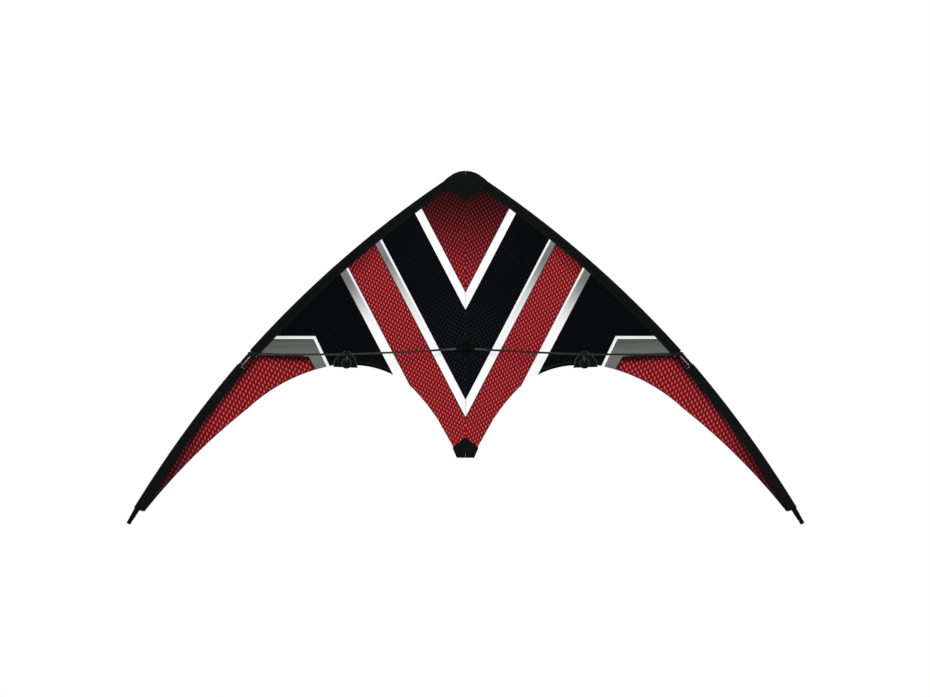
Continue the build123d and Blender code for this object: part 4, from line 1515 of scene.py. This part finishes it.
    def piping(self, name: str, corners: list[Flat], lift: float, centred: bool, finish: Finish) -> None:
        """Thin cord sewn along a patch's edge."""
        draft = Draft()
        spans = [hypot(b[0] - a[0], b[1] - a[1]) for a, b in zip(corners, corners[1:])]
        counts = [max(3, ceil(span / (2 * MM))) for span in spans]
        line = chain(corners, counts)
        smooth = [line[0]] + [
            ((a[0] + 2 * b[0] + c[0]) / 4, (a[1] + 2 * b[1] + c[1]) / 4)
            for a, b, c in zip(line, line[1:], line[2:])
        ] + [line[-1]]
        draft.tube([PLAN.on_sail(place, lift) for place in smooth], 0.65 * MM, 8)
        attach(draft, name, self.side, finish, centred=centred)

    def build(self) -> None:
        """Builds the half's sleeves and patches."""
        self.sleeve("upper_sleeve", PLAN.sleeve_start - 0.006, PLAN.notch[0])
        self.sleeve("lower_sleeve", PLAN.notch[1], PLAN.cloth_end)
        self.nose_pocket()
        self.t_patch()
        left = [(0.2262, -0.0030), (0.2190, -0.0105), (0.2120, -0.0205), (0.2085, -0.0362)]
        right = [(0.2314, -0.0030), (0.2430, -0.0105), (0.2534, -0.0230), (0.2548, -0.0345)]
        self.patch("standoff_bell", "standoff_patch", left, right, -0.75 * MM, False)
        self.piping("bell_piping_inner", left, -1.25 * MM, False, PIPING)
        self.piping("bell_piping_outer", right, -1.25 * MM, False, PIPING)
        inner = [(PLAN.gap, -0.1696), (PLAN.gap, -0.1880), (PLAN.gap, -0.2092)]
        outer = [(PLAN.gap + 0.4 * MM, -0.1699), (0.0246, -0.1900), (0.0163, -0.2092)]
        self.patch("keel_webbing", "keel_patch", inner, outer, -0.85 * MM, True)


# --- moulded fittings and rods --------------------------------------------------------------------
@dataclass(frozen=True)
class Ring:
    """A raised collar round a fitting's axis."""

    centre: Vector
    axis: Vector
    radius: float
    width: float


@dataclass
class Fittings:
    """Moulded parts with soft edges and raised collars. The tip cap has a shape of its own."""

    voxel: float = 0.34 * MM
    smoothing: int = 5

    # distance along the tip cap and its radius there, in millimetres
    CAP: ClassVar[tuple] = (
        (-3.0, 0.005), (-3.0, 5.2), (-2.6, 5.7), (2.0, 5.9), (2.5, 5.7), (3.2, 5.5), (12.0, 5.2), (22.0, 4.8),
        (30.4, 4.5), (30.9, 4.4), (31.4, 3.8), (32.6, 3.75), (33.1, 4.3), (33.6, 4.4),
        (37.0, 4.3), (39.9, 4.2), (40.9, 3.8), (41.3, 3.0), (41.3, 0.005),
    )

    def collar(self, ring: Ring) -> bmesh.types.BMesh:
        """Short closed cylinder for a collar."""
        mesh = bmesh.new()
        turn = ring.axis.to_track_quat("Z", "Y").to_matrix().to_4x4()
        bmesh.ops.create_cone(
            mesh, cap_ends=True, segments=48, radius1=ring.radius, radius2=ring.radius, depth=ring.width,
            matrix=Matrix.Translation(ring.centre) @ turn,
        )
        return mesh

    def mould(self, node: str, finish: Finish, collars: list[Ring] | None = None) -> bpy.types.Object:
        """Rounds a solid's edges and adds its collars.

        Args:
            node: the solid model's node.
            finish: the fitting's surface.
            collars: collars that are fused with it.

        Returns:
            The finished fitting, in its place.
        """
        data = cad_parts[node].data.copy()
        for ring in collars or []:
            extra = self.collar(ring)
            whole = bmesh.new()
            whole.from_mesh(data)
            part = bpy.data.meshes.new("collar")
            extra.to_mesh(part)
            extra.free()
            whole.from_mesh(part)
            whole.to_mesh(data)
            whole.free()
        draft = bpy.data.objects.new(f"{node}_draft", data)
        bpy.context.scene.collection.objects.link(draft)
        remesh = draft.modifiers.new("skin", "REMESH")
        remesh.mode = "VOXEL"
        remesh.voxel_size = self.voxel
        smooth = draft.modifiers.new("soften", "SMOOTH")
        smooth.factor = 0.5
        smooth.iterations = self.smoothing
        bpy.context.view_layer.update()
        shown = draft.evaluated_get(bpy.context.evaluated_depsgraph_get())
        skin = bpy.data.meshes.new_from_object(shown)
        bpy.data.objects.remove(draft)
        skin.name = f"{node}_moulding"
        skin.shade_smooth()
        skin.materials.clear()
        skin.materials.append(finish.material())
        piece = bpy.data.objects.new(f"{node}_moulding", skin)
        bpy.context.scene.collection.objects.link(piece)
        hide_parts(node)
        return piece

    def disc_ring(self, side: Side) -> None:
        """Grey ring moulded round the front of the standoff's disc."""
        low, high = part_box(f"{side.word}_standoff_disc")
        place = PLAN.standoff
        normal = PLAN.normal(place)
        centre = PLAN.on_sail(place, -(1.4 + 2.0 + 0.8) * MM)
        across = normal.cross(Vector((0, 0, 1))).normalized()
        up = across.cross(normal)
        reach = (high - low).z / 2 - 1.0 * MM
        draft = Draft()
        turns = [radians(-52 + 284 * step / 60) for step in range(61)]
        draft.tube([centre + (across * cos(turn) + up * sin(turn)) * reach for turn in turns], 0.6 * MM, 8)
        attach(draft, "disc_ring", side, PIPING)

    def tip_cap(self, side: Side) -> None:
        """Tapered cap on the spar's end, with a groove that takes a line."""
        start, before = PLAN.spar_point(PLAN.sleeve_end), PLAN.spar_point(PLAN.sleeve_end - 4.0 * MM)
        along = (start - before).normalized()
        across = along.cross(Vector((0, 1, 0))).normalized()
        over = along.cross(across)
        turns = [2 * pi * step / 40 for step in range(40)]
        draft = Draft()
        rows = []
        for away, radius in self.CAP:
            centre = start + along * away * MM
            rows.append([centre + (across * cos(turn) + over * sin(turn)) * radius * MM for turn in turns])
        draft.grid(rows, closed=True)
        draft.weld()
        attach(draft, "tip_cap_moulding", side, VINYL, node="tip_cap")

    def centre_t(self) -> None:
        """Hub on the spine and the two arms that bend with the wings."""
        hub = Vector((0, PLAN.axis_y, 0))
        up = Vector((0, 0, 1))
        collars = [Ring(hub + up * z * MM, up, 7.1 * MM, 2.2 * MM) for z in (-12.2, 12.2)]
        collars += [Ring(hub + up * z * MM, up, 6.6 * MM, 1.2 * MM) for z in (-8.6, 8.6)]
        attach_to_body(self.mould("centre_t_hub", VINYL, collars), "spine")
        for side in Side:
            start = Vector((10.5 * side.value, 8.0, 0.8)) * MM
            end = Vector((213.0 * side.value, 25.8, -9.2)) * MM
            along = (end - start).normalized()
            rings = [
                Ring(start + along * 5.9 * MM, along, 5.1 * MM, 1.8 * MM),
                Ring(start + along * 2.6 * MM, along, 4.9 * MM, 0.9 * MM),
            ]
            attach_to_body(self.mould(f"{side.word}_t_arm", VINYL, rings), side.wing)

    def outer_fittings(self, side: Side) -> None:
        """Connector, stop clip and standoff parts of one half."""
        word = side.word
        for node, finish in (
            ("leading_edge_connector", NYLON),
            ("connector_stop_clip", NYLON),
            ("standoff_disc", NYLON),
            ("disc_washer", NYLON),
        ):
            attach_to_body(self.mould(f"{word}_{node}", finish), side.wing)
        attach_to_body(self.mould(f"{word}_standoff_clip", NYLON), f"{word}_standoff")
        self.disc_ring(side)
        self.tip_cap(side)

    def dress(self) -> None:
        """Gives the rods and caps that stay as solids their finishes."""
        kept = {
            "spine_rod": CARBON,
            "spine_top_cap": VINYL,
            "spine_bottom_cap": VINYL,
        }
        for side in Side:
            for node, finish in (
                ("upper_spar", CARBON),
                ("lower_spar", CARBON),
                ("spar_ferrule", METAL),
                ("spreader", SPREADER_CARBON),
                ("standoff_rod", CARBON),
            ):
                kept[f"{side.word}_{node}"] = finish
        for node, finish in kept.items():
            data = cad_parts[node].data
            data.materials.clear()
            data.materials.append(finish.material())
            for face in data.polygons:
                face.use_smooth = True

    def build(self) -> None:
        """Builds every fitting."""
        self.centre_t()
        for side in Side:
            self.outer_fittings(side)
        self.dress()


# --- studio ------------------------------------------------------------------------------------------
@dataclass
class Studio:
    """Pale floor, soft light and a distant camera straight in front of the kite."""

    view_width: float = 1.788
    lens: float = 400.0
    sensor: float = 36.0
    eye: Flat = (-0.95 * MM, 1.0 * MM)     # X and Z of the camera
    floor_height: float = -0.80
    floor_size: float = 4.6
    key_strength: float = 0.96
    key_softness: float = radians(11)
    key_tilt: tuple[float, float, float] = (radians(73), 0.0, radians(-7))

    def floor(self) -> None:
        """Plain floor under the kite."""
        mesh = bmesh.new()
        bmesh.ops.create_grid(mesh, x_segments=8, y_segments=8, size=self.floor_size / 2)
        data = bpy.data.meshes.new("studio_floor")
        mesh.to_mesh(data)
        mesh.free()
        data.materials.append(FLOOR.material())
        floor = bpy.data.objects.new("studio_floor", data)
        floor.location = (0, 0, self.floor_height)
        bpy.context.scene.collection.objects.link(floor)

    def light(self) -> None:
        """White surroundings and one soft light from above the flyer."""
        world = bpy.data.worlds.new("studio")
        world.use_nodes = True
        bpy.context.scene.world = world
        shade = world.node_tree.nodes["Background"]
        shade.inputs[0].default_value = (1, 1, 1, 1)
        shade.inputs[1].default_value = 1.0
        lamp = bpy.data.lights.new("key", "SUN")
        lamp.energy = self.key_strength
        lamp.angle = self.key_softness
        key = bpy.data.objects.new("key", lamp)
        key.rotation_euler = self.key_tilt
        bpy.context.scene.collection.objects.link(key)

    def camera(self) -> None:
        """Long lens straight in front, level with the centre T."""
        data = bpy.data.cameras.new("front")
        data.lens = self.lens
        data.sensor_width = self.sensor
        distance = self.view_width * self.lens / self.sensor
        data.clip_end = distance * 3
        camera = bpy.data.objects.new("front", data)
        camera.location = (self.eye[0], PLAN.axis_y - distance, self.eye[1])
        camera.rotation_euler = (radians(90), 0, 0)
        bpy.context.scene.collection.objects.link(camera)
        bpy.context.scene.camera = camera

    def build(self) -> None:
        """Sets the studio up."""
        self.floor()
        self.light()
        self.camera()
        bpy.context.scene.view_settings.view_transform = "Standard"


def main() -> None:
    """Builds the kite and its studio."""
    logging.basicConfig(level=logging.INFO, format="%(name)s: %(message)s")
    for side in Side:
        Sail(side).build()
        LOG.info("%s sail sewn", side.word)
        LeadingEdge(side).build()
        LOG.info("%s leading edge sewn", side.word)
    Fittings().build()
    LOG.info("fittings moulded and rods dressed")
    Studio().build()


if __name__ == "__main__":
    main()
